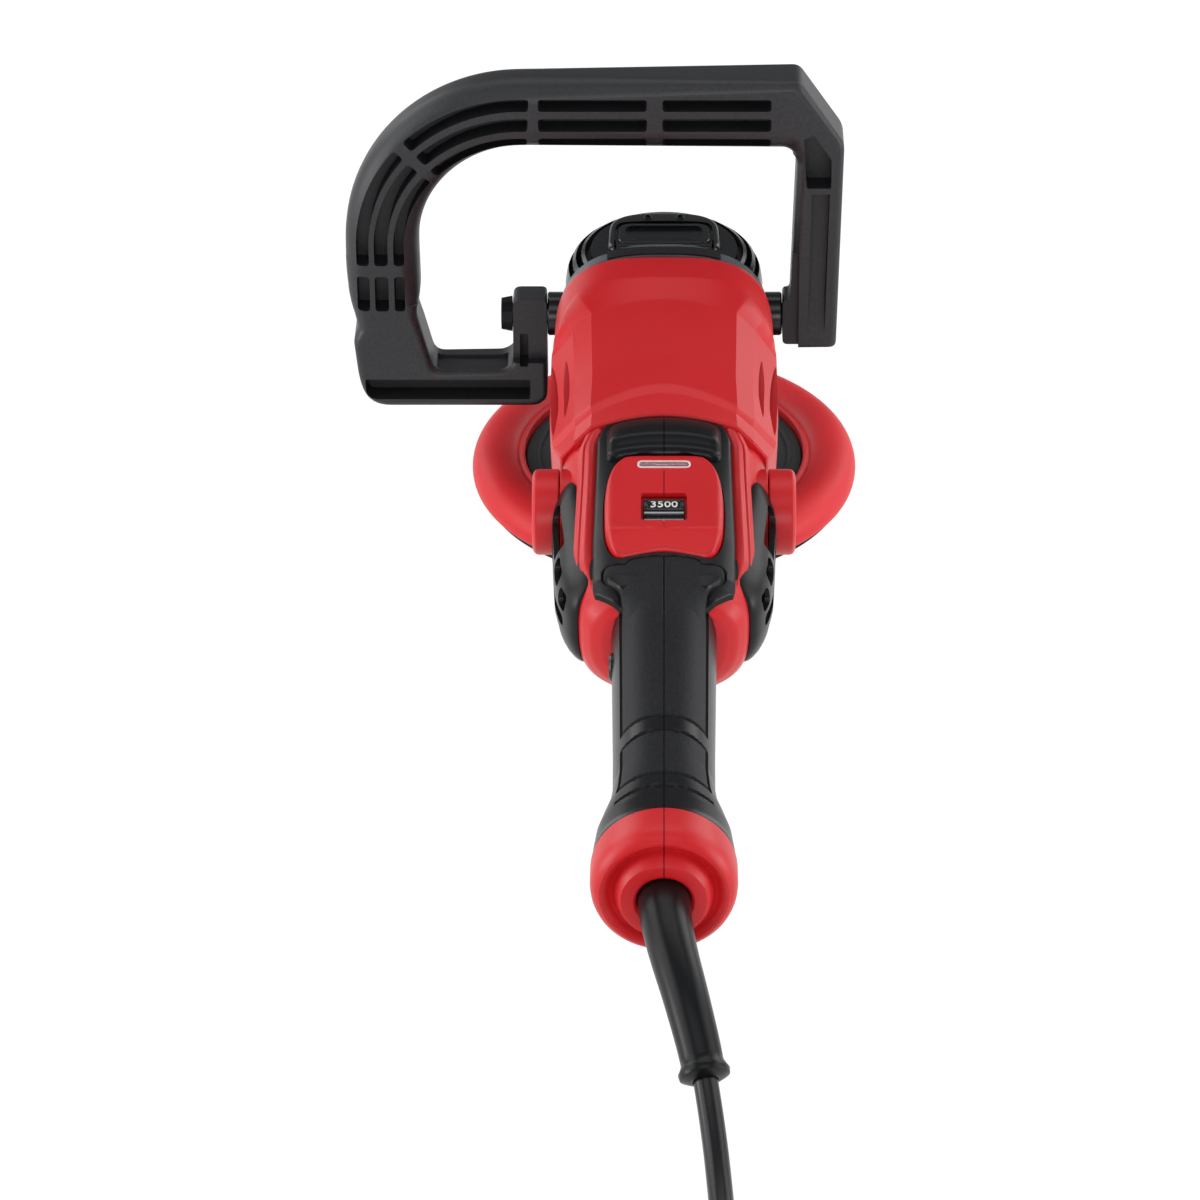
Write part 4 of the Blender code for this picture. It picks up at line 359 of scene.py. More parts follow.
# epoxy circuit board: green solder mask over a fine glass weave of 0.6 mm
BOARD, tree, shader, place = blank("green_circuit_board")
weave = node(tree, "ShaderNodeTexChecker", {"Vector": place, "Scale": 1 / (0.6 * MM), "Color1": colour("#2C5A3B"),
                                            "Color2": colour("#336645")})
tree.links.new(weave.outputs["Color"], shader.inputs["Base Color"])
shader.inputs["Roughness"].default_value = 0.35

# clear polycarbonate: a polished moulding, faintly smoky, that shows what lies under it
CLEAR, tree, shader, place = blank("clear_polycarbonate")
haze = node(tree, "ShaderNodeTexNoise", {"Vector": place, "Scale": 1 / (3.0 * MM), "Detail": 1.0})
soft = node(tree, "ShaderNodeMapRange", {"Value": haze.outputs["Fac"], "To Min": 0.04, "To Max": 0.12})
tree.links.new(soft.outputs[0], shader.inputs["Roughness"])
shader.inputs["Base Color"].default_value = colour("#E9E4E4")
shader.inputs["Transmission Weight"].default_value = 0.9
shader.inputs["IOR"].default_value = 1.58

# woven steel filter cloth: wires 1.1 mm apart in two directions, drawn a little coarse so that they show
MESH, tree, shader, place = blank("woven_steel_filter")
ways = [node(tree, "ShaderNodeTexWave", {"Vector": place, "Scale": 1 / (1.1 * MM) * 0.5, "Distortion": 0.0},
             bands_direction=way, wave_profile="SIN") for way in ("Y", "Z")]
crossed = node(tree, "ShaderNodeMath", {0: ways[0].outputs["Fac"], 1: ways[1].outputs["Fac"]},
               operation="MAXIMUM")
wire = node(tree, "ShaderNodeMapRange", {"Value": crossed.outputs[0], "From Min": 0.5, "From Max": 0.85})
tone = node(tree, "ShaderNodeMix", {0: wire.outputs[0], 6: colour("#08080A"), 7: colour("#B4B5B8")},
            data_type="RGBA")
raised = node(tree, "ShaderNodeBump", {"Height": wire.outputs[0], "Distance": 0.3 * MM})
tree.links.new(tone.outputs[2], shader.inputs["Base Color"])
tree.links.new(raised.outputs[0], shader.inputs["Normal"])
shader.inputs["Metallic"].default_value = 0.5
shader.inputs["Roughness"].default_value = 0.35
print("metals, board, lens and filter ready")

# %% [markdown]
# ## Nodes that stay as CAD solids
# The drive train sits inside closed housings. Its solids already have the right shape, so they keep their
# meshes and only get the finish of what they are: laminated steel, copper, brass, carbon.

# %% Finishes for carried-over nodes
CARRIED = {
    STEEL: ("spindle", "pad_hub", "crown_gear", "pinion_gear", "armature_shaft", "motor_front_bearing",
            "motor_rear_bearing", "spindle_bearing", "trigger_pin", "brush_spring_left", "brush_spring_right"),
    BLACK_STEEL: ("handle_bolt_left", "handle_bolt_right"),
    LAMINATION: ("armature_core", "stator_core"),
    COPPER: ("field_winding", "commutator"),
    BRASS: ("spindle_bush", "brush_holder_left", "brush_holder_right"),
    CARBON: ("carbon_brush_left", "carbon_brush_right"),
    BLACK_ABS: ("cooling_fan", "fan_baffle", "brush_bridge", "switch_module", "cord_clamp", "foot_plate"),
    BOARD: ("speed_controller",),
    MESH: ("intake_filter_left", "intake_filter_right"),
}
for look, names in CARRIED.items():
    for name in names:
        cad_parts[name].data.materials.clear()
        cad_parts[name].data.materials.append(look)
print("carried over:", sum(map(len, CARRIED.values())), "nodes")

# %% [markdown]
# ## The lead
# A polisher of this size has about three metres of 8 mm flex. It leaves the end cap through a tapered bend
# guard, drops to the floor, and the length that the photograph does not show is wound into a coil with a
# tie, just outside the picture. A curve object with a bevel would do; a tube swept along the same
# points with numpy keeps the route in one array, which also measures the cord's length.

# %% The route of the lead, from the cap to the plug
AXIS_Z = 77.0
CORD_RADIUS = 4.0
COIL_CENTRE = np.array([-45.0, -548.0])
COIL_RADIUS, COIL_PITCH, COIL_LAYER = 53.0, 8.7, 8.6
COIL_LAYERS, COIL_TURNS, COIL_TAIL = 4, 2, 50.0
COIL_OUT = COIL_RADIUS + COIL_TURNS * COIL_PITCH / 2
COIL_TOP = 5.8 + (COIL_LAYERS - 1) * COIL_LAYER
JOIN_X = COIL_CENTRE[0] + COIL_OUT
LEAD = np.array([
    (0, -368, 77), (0.4, -383, 76.6), (2.8, -399, 74), (7.2, -417, 68), (11.6, -434, 59), (14.6, -450, 49.5),
    (17.0, -470, 40.5), (18.4, -495, 34.5), (JOIN_X, -522, COIL_TOP + 0.6), (JOIN_X, -539.7, COIL_TOP)])


def through(points, spacing):
    """Catmull-Rom curve: between two points it blends cubics that leave each along the chord of its
    neighbours. Gives points about one spacing apart."""
    ends = np.vstack([2 * points[0] - points[1], points, 2 * points[-1] - points[-2]])
    a, b, c, d = (ends[i:len(ends) - 3 + i, None] for i in range(4))
    t = np.linspace(0, 1, 13)[None, :-1, None]
    fine = 0.5 * (2 * b + (c - a) * t + (2 * a - 5 * b + 4 * c - d) * t ** 2 + (3 * b - a - 3 * c + d) * t ** 3)
    fine = np.vstack([fine.reshape(-1, 3), points[-1:]])
    along = np.concatenate([[0], np.cumsum(np.linalg.norm(np.diff(fine, axis=0), axis=1))])
    spots = np.linspace(0, along[-1], max(2, round(along[-1] / spacing) + 1))
    return np.stack([np.interp(spots, along, fine[:, k]) for k in range(3)], -1)


def coil():
    """A spiral of two turns a layer: the radius runs in and out by one pitch a turn, and the height steps
    down a layer, eased over half a turn, where the spiral turns back."""
    turn = np.linspace(0, COIL_LAYERS * COIL_TURNS, COIL_LAYERS * COIL_TURNS * 24 + 1)
    layer = np.minimum(turn // COIL_TURNS, COIL_LAYERS - 1)
    part = turn - layer * COIL_TURNS
    inward = np.where(layer % 2 == 0, part, COIL_TURNS - part)
    radius = COIL_OUT - COIL_PITCH * inward
    change = np.arange(1, COIL_LAYERS)[:, None] * COIL_TURNS
    eased = np.clip((turn - change) * 2 + 0.5, 0, 1)
    drop = (eased * eased * (3 - 2 * eased)).sum(0)
    angle = -2 * np.pi * turn
    wound = np.stack([COIL_CENTRE[0] + radius * np.cos(angle), COIL_CENTRE[1] + radius * np.sin(angle),
                      COIL_TOP - COIL_LAYER * drop], -1)
    tail = wound[-1] + np.array([(0, -8, 0), (0, -COIL_TAIL / 2, 0), (0, -COIL_TAIL, 0)])
    return np.vstack([wound, tail])


def sweep(path, radii, sides=16):
    """A circle carried along a path: each ring stands square to the path, with its up side kept up."""
    ahead = np.gradient(path, axis=0)
    ahead /= np.linalg.norm(ahead, axis=1, keepdims=True)
    across = np.cross(ahead, (0, 0, 1.0))
    across /= np.linalg.norm(across, axis=1, keepdims=True)
    rise = np.cross(across, ahead)
    angle = np.linspace(0, 2 * np.pi, sides, endpoint=False)
    spokes = across[:, None] * np.cos(angle)[:, None] + rise[:, None] * np.sin(angle)[:, None]
    return path[:, None] + spokes * np.broadcast_to(radii, len(path))[:, None, None]


lead_path = through(LEAD, 4.0)
cord_path = np.vstack([lead_path, through(coil(), 4.0)])
cord = piece("mains_lead", skin(sweep(cord_path, CORD_RADIUS, 14)), CORD_PVC,
             stands_for=("cord_lead", "cord_coil"), sharp=60)

# %% [markdown]
# ### Bend guard, tie and plug
# The bend guard is a slim rubber cone with a bead at its tip, moulded round the lead. The tie is a strap of
# hook and loop tape. The plug is the flat two-pin kind, with a waisted body that fingers can pull.

# %% Bend guard
GUARD_START, GUARD_END = -377.9, -443.0
GUARD_NECK, GUARD_TIP, GUARD_BEAD = 8.8, 6.7, 8.4
guard_path = lead_path[(lead_path[:, 1] < -366.0) & (lead_path[:, 1] > GUARD_END - 0.5)]
guard_path = through(guard_path, 1.5)
share = np.clip((GUARD_START - guard_path[:, 1]) / (GUARD_START - GUARD_END), 0, 1)
guard_radius = GUARD_NECK + (GUARD_TIP - GUARD_NECK) * share ** 0.8
from_end = guard_path[:, 1] - guard_path[-1, 1]
bead = np.sqrt(np.clip(1 - ((from_end - 2.2) / 2.2) ** 2, 0, 1))
guard_radius = np.maximum(guard_radius, GUARD_TIP - 1.2 + (GUARD_BEAD - GUARD_TIP + 1.2) * bead)
guard_radius[-1] = GUARD_TIP - 1.4
guard_skin = skin(sweep(guard_path, guard_radius, 40), fill=False)
mouth = skin(np.stack([sweep(guard_path[-2:], r, 40)[-1] for r in (GUARD_TIP - 1.4, CORD_RADIUS + 0.25)]), fill=False)
deep = skin(sweep(guard_path[-6:][::-1], CORD_RADIUS + 0.25, 40), fill=False)
guard = piece("bend_guard", together(guard_skin, mouth, deep), SMOOTH_RUBBER,
              stands_for=("cord_guard",), sharp=40)
print("guard rings", len(guard_path))

# %% Tie round the coil
TIE_WIDTH, TIE_THICK = 14.0, 1.2


def rounded_box(half_x, half_z, corner, steps=6):
    """A rectangle with round corners as one closed line of (x, z): four quarter circles on their centres."""
    turn = np.linspace(0, np.pi / 2, steps)[None] + np.arange(4)[:, None] * np.pi / 2
    sign_x = np.array([1, -1, -1, 1])[:, None]
    sign_z = np.array([1, 1, -1, -1])[:, None]
    x = sign_x * (half_x - corner) + corner * np.cos(turn)
    z = sign_z * (half_z - corner) + corner * np.sin(turn)
    return np.stack([x, z], -1).reshape(-1, 2)


tie_low, tie_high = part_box("cord_tie")
tie_mid = (np.array(tie_low) + np.array(tie_high)) / 2 / MM
tie_half = (np.array(tie_high) - np.array(tie_low)) / 2 / MM
tie_rings = []
for inset, y in ((TIE_THICK, -0.97), (0.2, -1.0), (0, -0.93), (0, 0.93), (0.2, 1.0), (TIE_THICK, 0.97)):
    line = rounded_box(tie_half[0] - inset, tie_half[2] - inset, 5.2 - inset)
    tie_rings.append(np.stack([tie_mid[0] + line[:, 0], np.full(len(line), tie_mid[1] + y * TIE_WIDTH / 2),
                               tie_mid[2] + line[:, 1]], -1))
tie = piece("cord_tie_strap", skin(np.stack(tie_rings), fill=False, loop=True), HOOKS,
            stands_for=("cord_tie",))
print("tie", np.round(tie_half * 2, 1).tolist())

# %% Plug
plug_low, plug_high = (np.array(corner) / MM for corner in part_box("plug"))
plug_x = (plug_low[0] + plug_high[0]) / 2
PLUG_HEIGHT, PLUG_HALF, PIN_RADIUS, PIN_SPACING, PIN_LENGTH = 17.0, 13.0, 2.4, 19.0, 19.0
plug_mid = PLUG_HEIGHT / 2 + 0.3
plug_face = plug_low[1] + PIN_LENGTH
plug_rows = np.array([(0, 0.40, 0.50), (1, 0.44, 0.56), (10, 0.46, 0.58), (14, 0.55, 0.62), (18, 0.80, 0.80),
                      (22, 0.93, 0.92), (28, 1.0, 1.0), (36, 0.97, 0.98), (39.4, 0.95, 0.96), (40, 0.90, 0.90)])
cord_end = cord_path[-1]
plug_rings = []
for away, wide, tall in plug_rows:
    line = rounded_box(PLUG_HALF * wide, PLUG_HEIGHT / 2 * tall, min(6.0, PLUG_HEIGHT / 2 * tall) * 0.8)
    lift = cord_end[2] + (plug_mid - cord_end[2]) * min(1, away / 18)
    plug_rings.append(np.stack([plug_x + line[:, 0], np.full(len(line), plug_face + 40 - away), lift + line[:, 1]], -1))
plug_body = piece("mains_plug", skin(np.stack(plug_rings)), SMOOTH_RUBBER,
                  stands_for=("plug",), sharp=45)


def lathe(profile, axis="z", centre=(0, 0, 0), steps=48, sweep_turn=1.0):
    """A profile of (radius, height) rows turned round an axis through a centre."""
    profile = np.asarray(profile, float)
    angle = np.linspace(0, 2 * np.pi * sweep_turn, steps, endpoint=False)
    a = profile[:, :1] * np.cos(angle)
    b = profile[:, :1] * np.sin(angle)
    h = np.broadcast_to(profile[:, 1:], a.shape)
    order = {"z": (a, b, h), "y": (b, h, a), "x": (h, a, b)}[axis]
    return np.stack(order, -1) + np.array(centre, float)


pin_profile = [(0.01, 3), (PIN_RADIUS, 3), (PIN_RADIUS, -PIN_LENGTH + 2), (PIN_RADIUS * 0.8, -PIN_LENGTH + 0.6),
               (PIN_RADIUS * 0.4, -PIN_LENGTH), (0.01, -PIN_LENGTH)]
pins = [skin(lathe(pin_profile, "y", (plug_x + side * PIN_SPACING / 2, plug_face, plug_mid), 20)) for side in (-1, 1)]
plug_pins = piece("plug_pins", together(*pins), STEEL)
print("plug and pins ready")

# %% [markdown]
# ## The backing pad
# The pad is a moulded foam ring on a stiff plate, with hook tape on its face. All three are turned shapes,
# so each is a profile of radius and height spun round the spindle. A Screw modifier could spin it; doing it
# in numpy gives rings that line up with the bevels. The foam's crown comes from a curve through a few points.

# %% Foam ring
pad_curve = np.array([(71.6, 2.6), (74.2, 4.6), (75.0, 7.6), (74.6, 10.6), (73.2, 13.4), (70.6, 15.6),
                      (67.0, 16.8), (63.6, 16.9), (60.4, 16.2), (58.4, 15.2)])
crown = through(np.c_[pad_curve, np.zeros(len(pad_curve))], 0.7)[:, :2]
lip_line = np.array([(57.6, 14.3), (57.0, 14.1), (56.4, 14.3), (55.9, 14.8), (55.2, 14.9), (54.6, 14.5), (54.4, 13.8)])
foam_profile = np.vstack([[(14, 1.8), (71.0, 1.8)], crown, lip_line, [(54.4, 7.7), (14, 7.7)]])
foam = piece("pad_foam_ring", skin(lathe(foam_profile, steps=128), loop=True), PAD_FOAM, "pad_spindle",
             ("pad_foam",), sharp=40)
print("foam profile", len(foam_profile), "points")

# %% Plate and hook face
rib_radii = np.array([49.0, 43.0, 37.0, 31.0])
plate_top = [(26.0, 13.4), (53.2, 12.3)]


def plate_height(radius):
    """Height of the plate's gently falling top at a radius."""
    return np.interp(radius, [26.0, 53.2], [13.4, 12.3])


ribs = np.array([(radius + step, plate_height(radius) + rise) for radius in rib_radii
                 for step, rise in ((1.0, 0), (0.7, 0.7), (-0.7, 0.7), (-1.0, 0))])
plate_profile = np.vstack([[(13.3, 8), (54.0, 8), (54.0, 11.6), (53.4, 12.2)], ribs,
                           [(26.0, 13.4), (22.4, 14.6), (20.4, 16.6), (19.6, 19.4), (19.2, 22.6), (18.3, 23.5), (13.3, 23.5)]])
pad_disc = piece("pad_plate_disc", skin(lathe(plate_profile, steps=128), loop=True), PAD_PLATE, "pad_spindle",
                 ("pad_plate",), sharp=38)
hook_profile = [(14, 0), (70.6, 0), (71, 0.3), (71, 1.2), (70.6, 1.5), (14, 1.5)]
hook_disc = piece("pad_hook_disc", skin(lathe(hook_profile, steps=128), loop=True), HOOKS, "pad_spindle",
                  ("pad_hook_face",), sharp=38)
print("plate ribs", len(rib_radii))
# %% [markdown]
# ## The bail handle
# The handle is one thick bow of glass-filled nylon that leans back five degrees. Thick nylon would sink as
# it cools, so the moulder cores its rear face with blind slots, which leaves a lattice of ribs. The bow is
# an outline pushed through its depth, with an edge rounding of its own at each corner: wide where a hand
# goes round the bar, narrow at the feet. Each slot is a shorter prism with soft corners, carved out.

# %% The handle's plane and its outline
BAIL_Z = 76.0
BAIL_LEAN = math.radians(5)
BAIL_HALF = 11.0


def bail_spot(flat, deep):
    """Points (u, v) of the handle's own plane, at a depth along its normal, in the tool's frame."""
    u, v = flat[..., 0], flat[..., 1]
    n = np.broadcast_to(deep, u.shape)
    y = v * math.sin(BAIL_LEAN) - n * math.cos(BAIL_LEAN)
    z = BAIL_Z + v * math.cos(BAIL_LEAN) + n * math.sin(BAIL_LEAN)
    return np.stack([u, y, z], -1)


def soft_corners(corners, steps=8):
    """A closed outline whose corners (u, v, soft) turn along a parabola that starts soft mm before each
    corner and ends soft mm past it."""
    corners = np.asarray(corners, float)
    spot, soft = corners[:, :2], corners[:, 2]
    before, after = np.roll(spot, 1, 0) - spot, np.roll(spot, -1, 0) - spot
    reach = [np.minimum(soft / np.linalg.norm(way, axis=1), 0.48) for way in (before, after)]
    start, end = spot + before * reach[0][:, None], spot + after * reach[1][:, None]
    t = np.linspace(0, 1, steps)[None, :, None]
    curve = (1 - t) ** 2 * start[:, None] + 2 * t * (1 - t) * spot[:, None] + t ** 2 * end[:, None]
    return curve.reshape(-1, 2)


def bow(centre, radius, first, last, count, *more):
    """Corners along an arc of a circle, from one angle to another in degrees."""
    angle = np.radians(np.linspace(first, last, count))
    return [(centre[0] + radius * c, centre[1] + radius * s, *more) for c, s in zip(np.cos(angle), np.sin(angle))]


BEND = (-54.0, 32.5)
BEND_OUT, BEND_IN = 67.5, 39.5
# corners (u, v, edge rounding, corner rounding), anticlockwise from the foot of the right leg
outline = np.array(
    [(45.5, -10, 2, 2), (66, -10, 2.5, 2.5), (68, 75, 2.5, 3), (51, 100, 3.5, 2.5)] + bow(BEND, BEND_OUT, 90, 180, 17, 9, 6)
    + [(-121.5, 20, 8, 6), (-120.3, 8, 7, 5), (-117.3, -1.8, 5, 2), (-119.2, -7.4, 3, 2), (-117.5, -24, 3, 5),
       (-114.9, -31.6, 3, 4), (-109.5, -35, 3, 4), (-48, -35, 3, 3), (-45, -31, 2, 2), (-45, 8.5, 2, 2), (-58, 8.5, 2, 3),
       (-58, -17, 2, 2), (-62, -19.5, 2, 2), (-88.5, -19.5, 3, 4), (-91.5, -8, 3, 5), (-94.9, 4.7, 4, 3), (-93.3, 10.6, 7, 4)]
    + bow(BEND, BEND_IN, 180, 90, 13, 9, 4) + [(47, 72, 7, 3), (50.2, 68, 4, 2.5), (48.3, 8.5, 3, 2), (45.5, 8.5, 2, 2)])


def inset(corners, share):
    """The corners moved inwards by a share of their edge rounding, along the mean of the normals of the two
    sides that meet there, and further where they meet sharply."""
    spot = corners[:, :2]
    way = np.roll(spot, -1, 0) - spot
    way /= np.linalg.norm(way, axis=1, keepdims=True)
    normal = np.stack([-way[:, 1], way[:, 0]], -1)
    mean = normal + np.roll(normal, 1, 0)
    mean /= np.linalg.norm(mean, axis=1, keepdims=True)
    stretch = share * corners[:, 2] / np.maximum(0.5, (mean * normal).sum(1))
    return np.c_[spot + mean * stretch[:, None], corners[:, 3]]


CORNER_STEPS = 5
bow_rings = []
for face in (1, -1):
    for turn in np.radians(np.linspace(0, 90, 7))[::face]:
        deep = np.repeat(BAIL_HALF - outline[:, 2] * (1 - math.cos(turn)), CORNER_STEPS)
        bow_rings.append(bail_spot(soft_corners(inset(outline, 1 - math.sin(turn)), CORNER_STEPS), face * deep))
print("handle rings", len(bow_rings), "of", bow_rings[0].shape[0], "points")

# %% Slots of the lattice
SLOT_FLOOR = 0.5
# each row: in from the bar's top, in from the leg's side, half width
SLOT_ROWS = ((9.0, 6.8, 2.4), (16.9, 13.8, 2.6), (24.6, 20.6, 2.0))


def prism(flat, floor, roof, flat_roof=None):
    """An outline pushed from one depth of the handle's plane to another, where it can be another outline."""
    return skin(np.stack([bail_spot(flat, floor), bail_spot(flat if flat_roof is None else flat_roof, roof)]))


def window(u0, v0, u1, v1, soft=1.4):
    """A rectangle with soft corners in the handle's plane."""
    return soft_corners([(u0, v0, soft), (u1, v0, soft), (u1, v1, soft), (u0, v1, soft)], 5)


def curved_slot(row, first, last, tail=None):
    """A slot that follows the bend between two angles, on an oval that joins the bar's row to the leg's row,
    and can run on down the leg to the height tail."""
    bar, leg, half = row
    angle = np.radians(np.linspace(first, last, 15))
    ways = np.stack([np.cos(angle), np.sin(angle)], -1)
    edges = [np.array(BEND) + ways * (BEND_OUT - np.array([leg, bar]) + side * half) for side in (1, -1)]
    ends = [] if tail is None else [[(edges[0][-1][0], tail), (edges[1][-1][0], tail)]]
    corner = np.vstack([edges[0]] + ends + [edges[1][::-1]])
    soft = np.full(len(corner), 1.4)
    return soft_corners(np.c_[corner, soft], 4)


slots = []
for row in SLOT_ROWS:
    bar, leg, half = row
    for start, end in ((-47.3, -6.4), (-0.6, 40.3)):
        slots.append(window(start, 100 - bar - half, end, 100 - bar + half))
    slots += [curved_slot(row, 87, 134.8), curved_slot(row, 139.2, 180, 25.0)]
    slots.append(window(-121.5 + leg - half, 6, -121.5 + leg + half, 20.5))
slots.append(soft_corners([(52.6, 77.3, 0.8), (53.9, 57.2, 0.8), (63.2, 57.2, 0.8), (63.1, 69, 0.8), (56.4, 79, 0.8)], 4))
slots.append(soft_corners([(-115, -31.4, 4), (-51.5, -31.4, 1), (-51.5, -23, 1), (-115, -23, 1)], 5))
# the right leg's long pocket runs out in a ramp over the bolt; its two ends make one slanted prism
pocket = [np.array([(55.8, 54.8), (54.9, v), (61.5, v), (62.7, 54.8)]) for v in (10.0, -3.0)]
cuts = [prism(slot, SLOT_FLOOR, BAIL_HALF + 3) for slot in slots]
cuts.append(prism(pocket[0], 4.6, BAIL_HALF + 0.01, pocket[1]))
cuts.append(prism(window(-55.4, -17.5, -52.2, -5.5, 0.8), 0.5, BAIL_HALF + 3))
print("handle slots", len(cuts))

# %% Mounting eyes, bolt holes and the finished bow
# round the bolts the bow is thinner, and the left foot has a shallow channel along its top
eyes = [prism(np.array([(u0, -16.0), (u1, -16), (u1, 30), (u0, 30)]), *sorted((face * 6.5, face * 20)))
        for u0, u1 in ((-59.0, -44.0), (44.0, 51.5)) for face in (-1, 1)]
channel = prism(window(-87.5, -20.6, -60.2, -12, 0.3), -4.0, 8.6)
bolt_way = skin(lathe([(4.3, -80), (4.3, 90)], "x", (0, 0, BAIL_Z), 32))
bolt_well = skin(lathe([(7.5, 59), (7.5, 90)], "x", (0, 0, BAIL_Z), 40))
carved = skin(np.stack(bow_rings))
for cut in (together(*eyes), channel, together(*cuts), bolt_way, bolt_well):
    carved = carve(carved, cut)
handle = piece("bail_bow", carved, BLACK_NYLON, stands_for=("bail_handle",), sharp=28,
               round_mm=0.55, steps=2)
print("handle faces", len(handle.data.polygons))

# %% [markdown]
# ### Mounts of the handle
# A turned spacer on each side sits between the gear case and the handle, and a hexagon bolt clamps the
# stack. The bolts stay as CAD solids; the spacers are turned with a chamfer at each end.

# %% Spacers
for side, label in ((-1, "left"), (1, "right")):
    low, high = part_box("handle_spacer_" + label)
    start, end = sorted((abs(low[0]) / MM, abs(high[0]) / MM))
    length = end - start
    turned = [(4.4, 0), (7.8, 0), (8.4, 0.6), (8.4, length - 0.6), (7.8, length), (4.4, length)]
    rings = lathe([(r, side * (start + h)) for r, h in turned], "x", (0, 0, BAIL_Z), 48)
    piece("bail_spacer_" + label, skin(rings, loop=True), BLACK_ABS,
          stands_for=("handle_spacer_" + label,), sharp=35)
    print("spacer", label, round(start, 1), round(end, 1))

# %% [markdown]
# ## The motor housing
# The red housing is one thin nylon tube with a designer's facets: two bands round the front, a crowned top,
# chamfers that start in a diamond, and leaf-shaped vents on the flanks. Modelling it facet by facet in Edit
# Mode works too. Here each cross-section is the least of a few simple reaches from the motor axis, and its
# corners keep the same column in every row, so that the facets meet on clean edges.

# %% Sections about the motor axis
COLUMNS = 25
HOUSING_ROWS = np.array([(-27.3, 41.0, 39.8, 39.8, 3.2), (-29.2, 41.2, 40.7, 40.0, 3.2), (-32.0, 41.4, 40.7, 40.0, 3.2),
                         (-43.0, 41.6, 40.0, 40.0, 3.3), (-54.6, 42.0, 37.2, 40.0, 3.4),
                         (-90.0, 42.0, 33.3, 39.0, 3.4), (-107.2, 41.0, 32.2, 38.0, 3.3), (-111.6, 40.4, 31.0, 37.8, 3.3),
                         (-124.4, 37.6, 29.8, 36.0, 3.2)])


def row_values(table, s):
    """The columns of a table whose first column falls, straight between its rows."""
    return [np.interp(-s, -table[:, 0], table[:, k]) for k in range(1, table.shape[1])]


def box_reach(theta, half, up, down, power):
    """Reach of a superellipse in a direction: the sum of the powers of its two shares is one."""
    c, s = np.cos(theta), np.sin(theta)
    tall = np.where(s >= 0, up, down)
    return ((np.abs(c) / half) ** power + (np.abs(s) / tall) ** power) ** (-1 / power)


def plane_reach(theta, tilt, distance):
    """Reach of a flat plane whose normal tilts up from +X or -X by an angle."""
    facing = np.abs(np.cos(theta)) * np.cos(tilt) + np.sin(theta) * np.sin(tilt)
    return distance / np.maximum(facing, 1e-3)


def crown_reach(theta, up, fall):
    """Reach of a top that falls with the square of the distance from the middle."""
    c, s = np.cos(theta), np.sin(theta)
    return 2 * up / np.maximum(s + np.sqrt(s * s + 4 * fall * up * c * c), 1e-3)


# where the facets' corners stand at each row: angle of top corner, of chamfer corner and of flank corner
CORNERS = np.array([(-27.3, 47.5, 38.5, 20.0), (-43.0, 45.8, 36.6, 20.0), (-54.6, 52.9, 41.9, 21.0),
                    (-90.0, 50.6, 40.0, 20.0), (-108.0, 49.0, 38.6, 19.0), (-124.4, 47.0, 36.0, 18.0)])
# how far each row bends to the rear at its top, the two corners of its chamfer, its flank and its side
BENDS = np.array([(-27.3, 0, 0, 0, 0), (-43.0, 1.0, 6.0, 5.0, 2.0), (-54.6, 7.4, 11.4, 9.0, 3.0), (-90.0, 10.0, 13.0, 9.5, 3.0),
                  (-109.0, 13.0, 15.0, 9.0, 2.0), (-124.4, 6.2, 9.5, 6.0, 0.4)])


def section_angles(s):
    """Angles of the columns from straight up to straight down, with the facets' corners on fixed columns."""
    top, chamfer, flank = row_values(CORNERS, s)
    knots = np.stack([np.full_like(s, 90.0), top, chamfer, flank, np.zeros_like(s), np.full_like(s, -45.0),
                      np.full_like(s, -90.0)], -1)
    spots = np.linspace(0, 6, 6 * COLUMNS + 1)
    whole = np.minimum(spots.astype(int), 5)
    part = spots - whole
    return np.radians(knots[:, whole] * (1 - part) + knots[:, whole + 1] * part), spots


def section_bend(s, spots):
    """How far each point of a row sits behind the row's middle: with the square of the way out along the
    crown, straight between the corners, and gone below the side."""
    values = row_values(BENDS, s)
    knots = np.stack([np.zeros_like(s)] + values + [np.zeros_like(s)] * 2, -1)
    whole = np.minimum(spots.astype(int), 5)
    part = np.where(whole == 0, (spots - whole) ** 2, spots - whole)
    return knots[:, whole] * (1 - part) + knots[:, whole + 1] * part


def housing_half(s, shrink=0.0):
    """One flank of the housing, from top to bottom, for rows at the places s."""
    theta, spots = section_angles(s)
    half, up, down, power = (value[:, None] - trim for value, trim in
                             zip(row_values(HOUSING_ROWS, s), (shrink, shrink, shrink, 0)))
    smooth = box_reach(theta, half, up, down, power)
    boxy = box_reach(theta, half, up * 1.02, down, np.where(theta > 0, 6.0, power))
    top = np.radians(row_values(CORNERS, s)[0])[:, None]
    chamfer = np.radians(row_values(CORNERS, s)[1])[:, None]
    fall = 1.5 / 26.5 ** 2
    edge = crown_reach(top, up, fall)
    corner_b = np.stack([edge * np.cos(top), edge * np.sin(top)], -1)
    tilt = np.radians(53.0)
    lean = corner_b[..., 0] * np.cos(tilt) + corner_b[..., 1] * np.sin(tilt)
    reach_c = lean / np.cos(tilt - chamfer)
    tilt_side = np.radians(31.0)
    side = reach_c * np.cos(chamfer - tilt_side)
    faceted = np.minimum.reduce([boxy, crown_reach(theta, up, fall) + 0 * boxy, plane_reach(theta, tilt, lean),
                                 plane_reach(theta, tilt_side, side)])
    facets = np.interp(-s, [43.0, 54.6], [0.0, 1.0])[:, None]
    reach = smooth * (1 - facets) + np.where(theta > 0, faceted, smooth) * facets
    return np.stack([reach * np.cos(theta), s[:, None] - section_bend(s, spots),
                     AXIS_Z + reach * np.sin(theta)], -1)


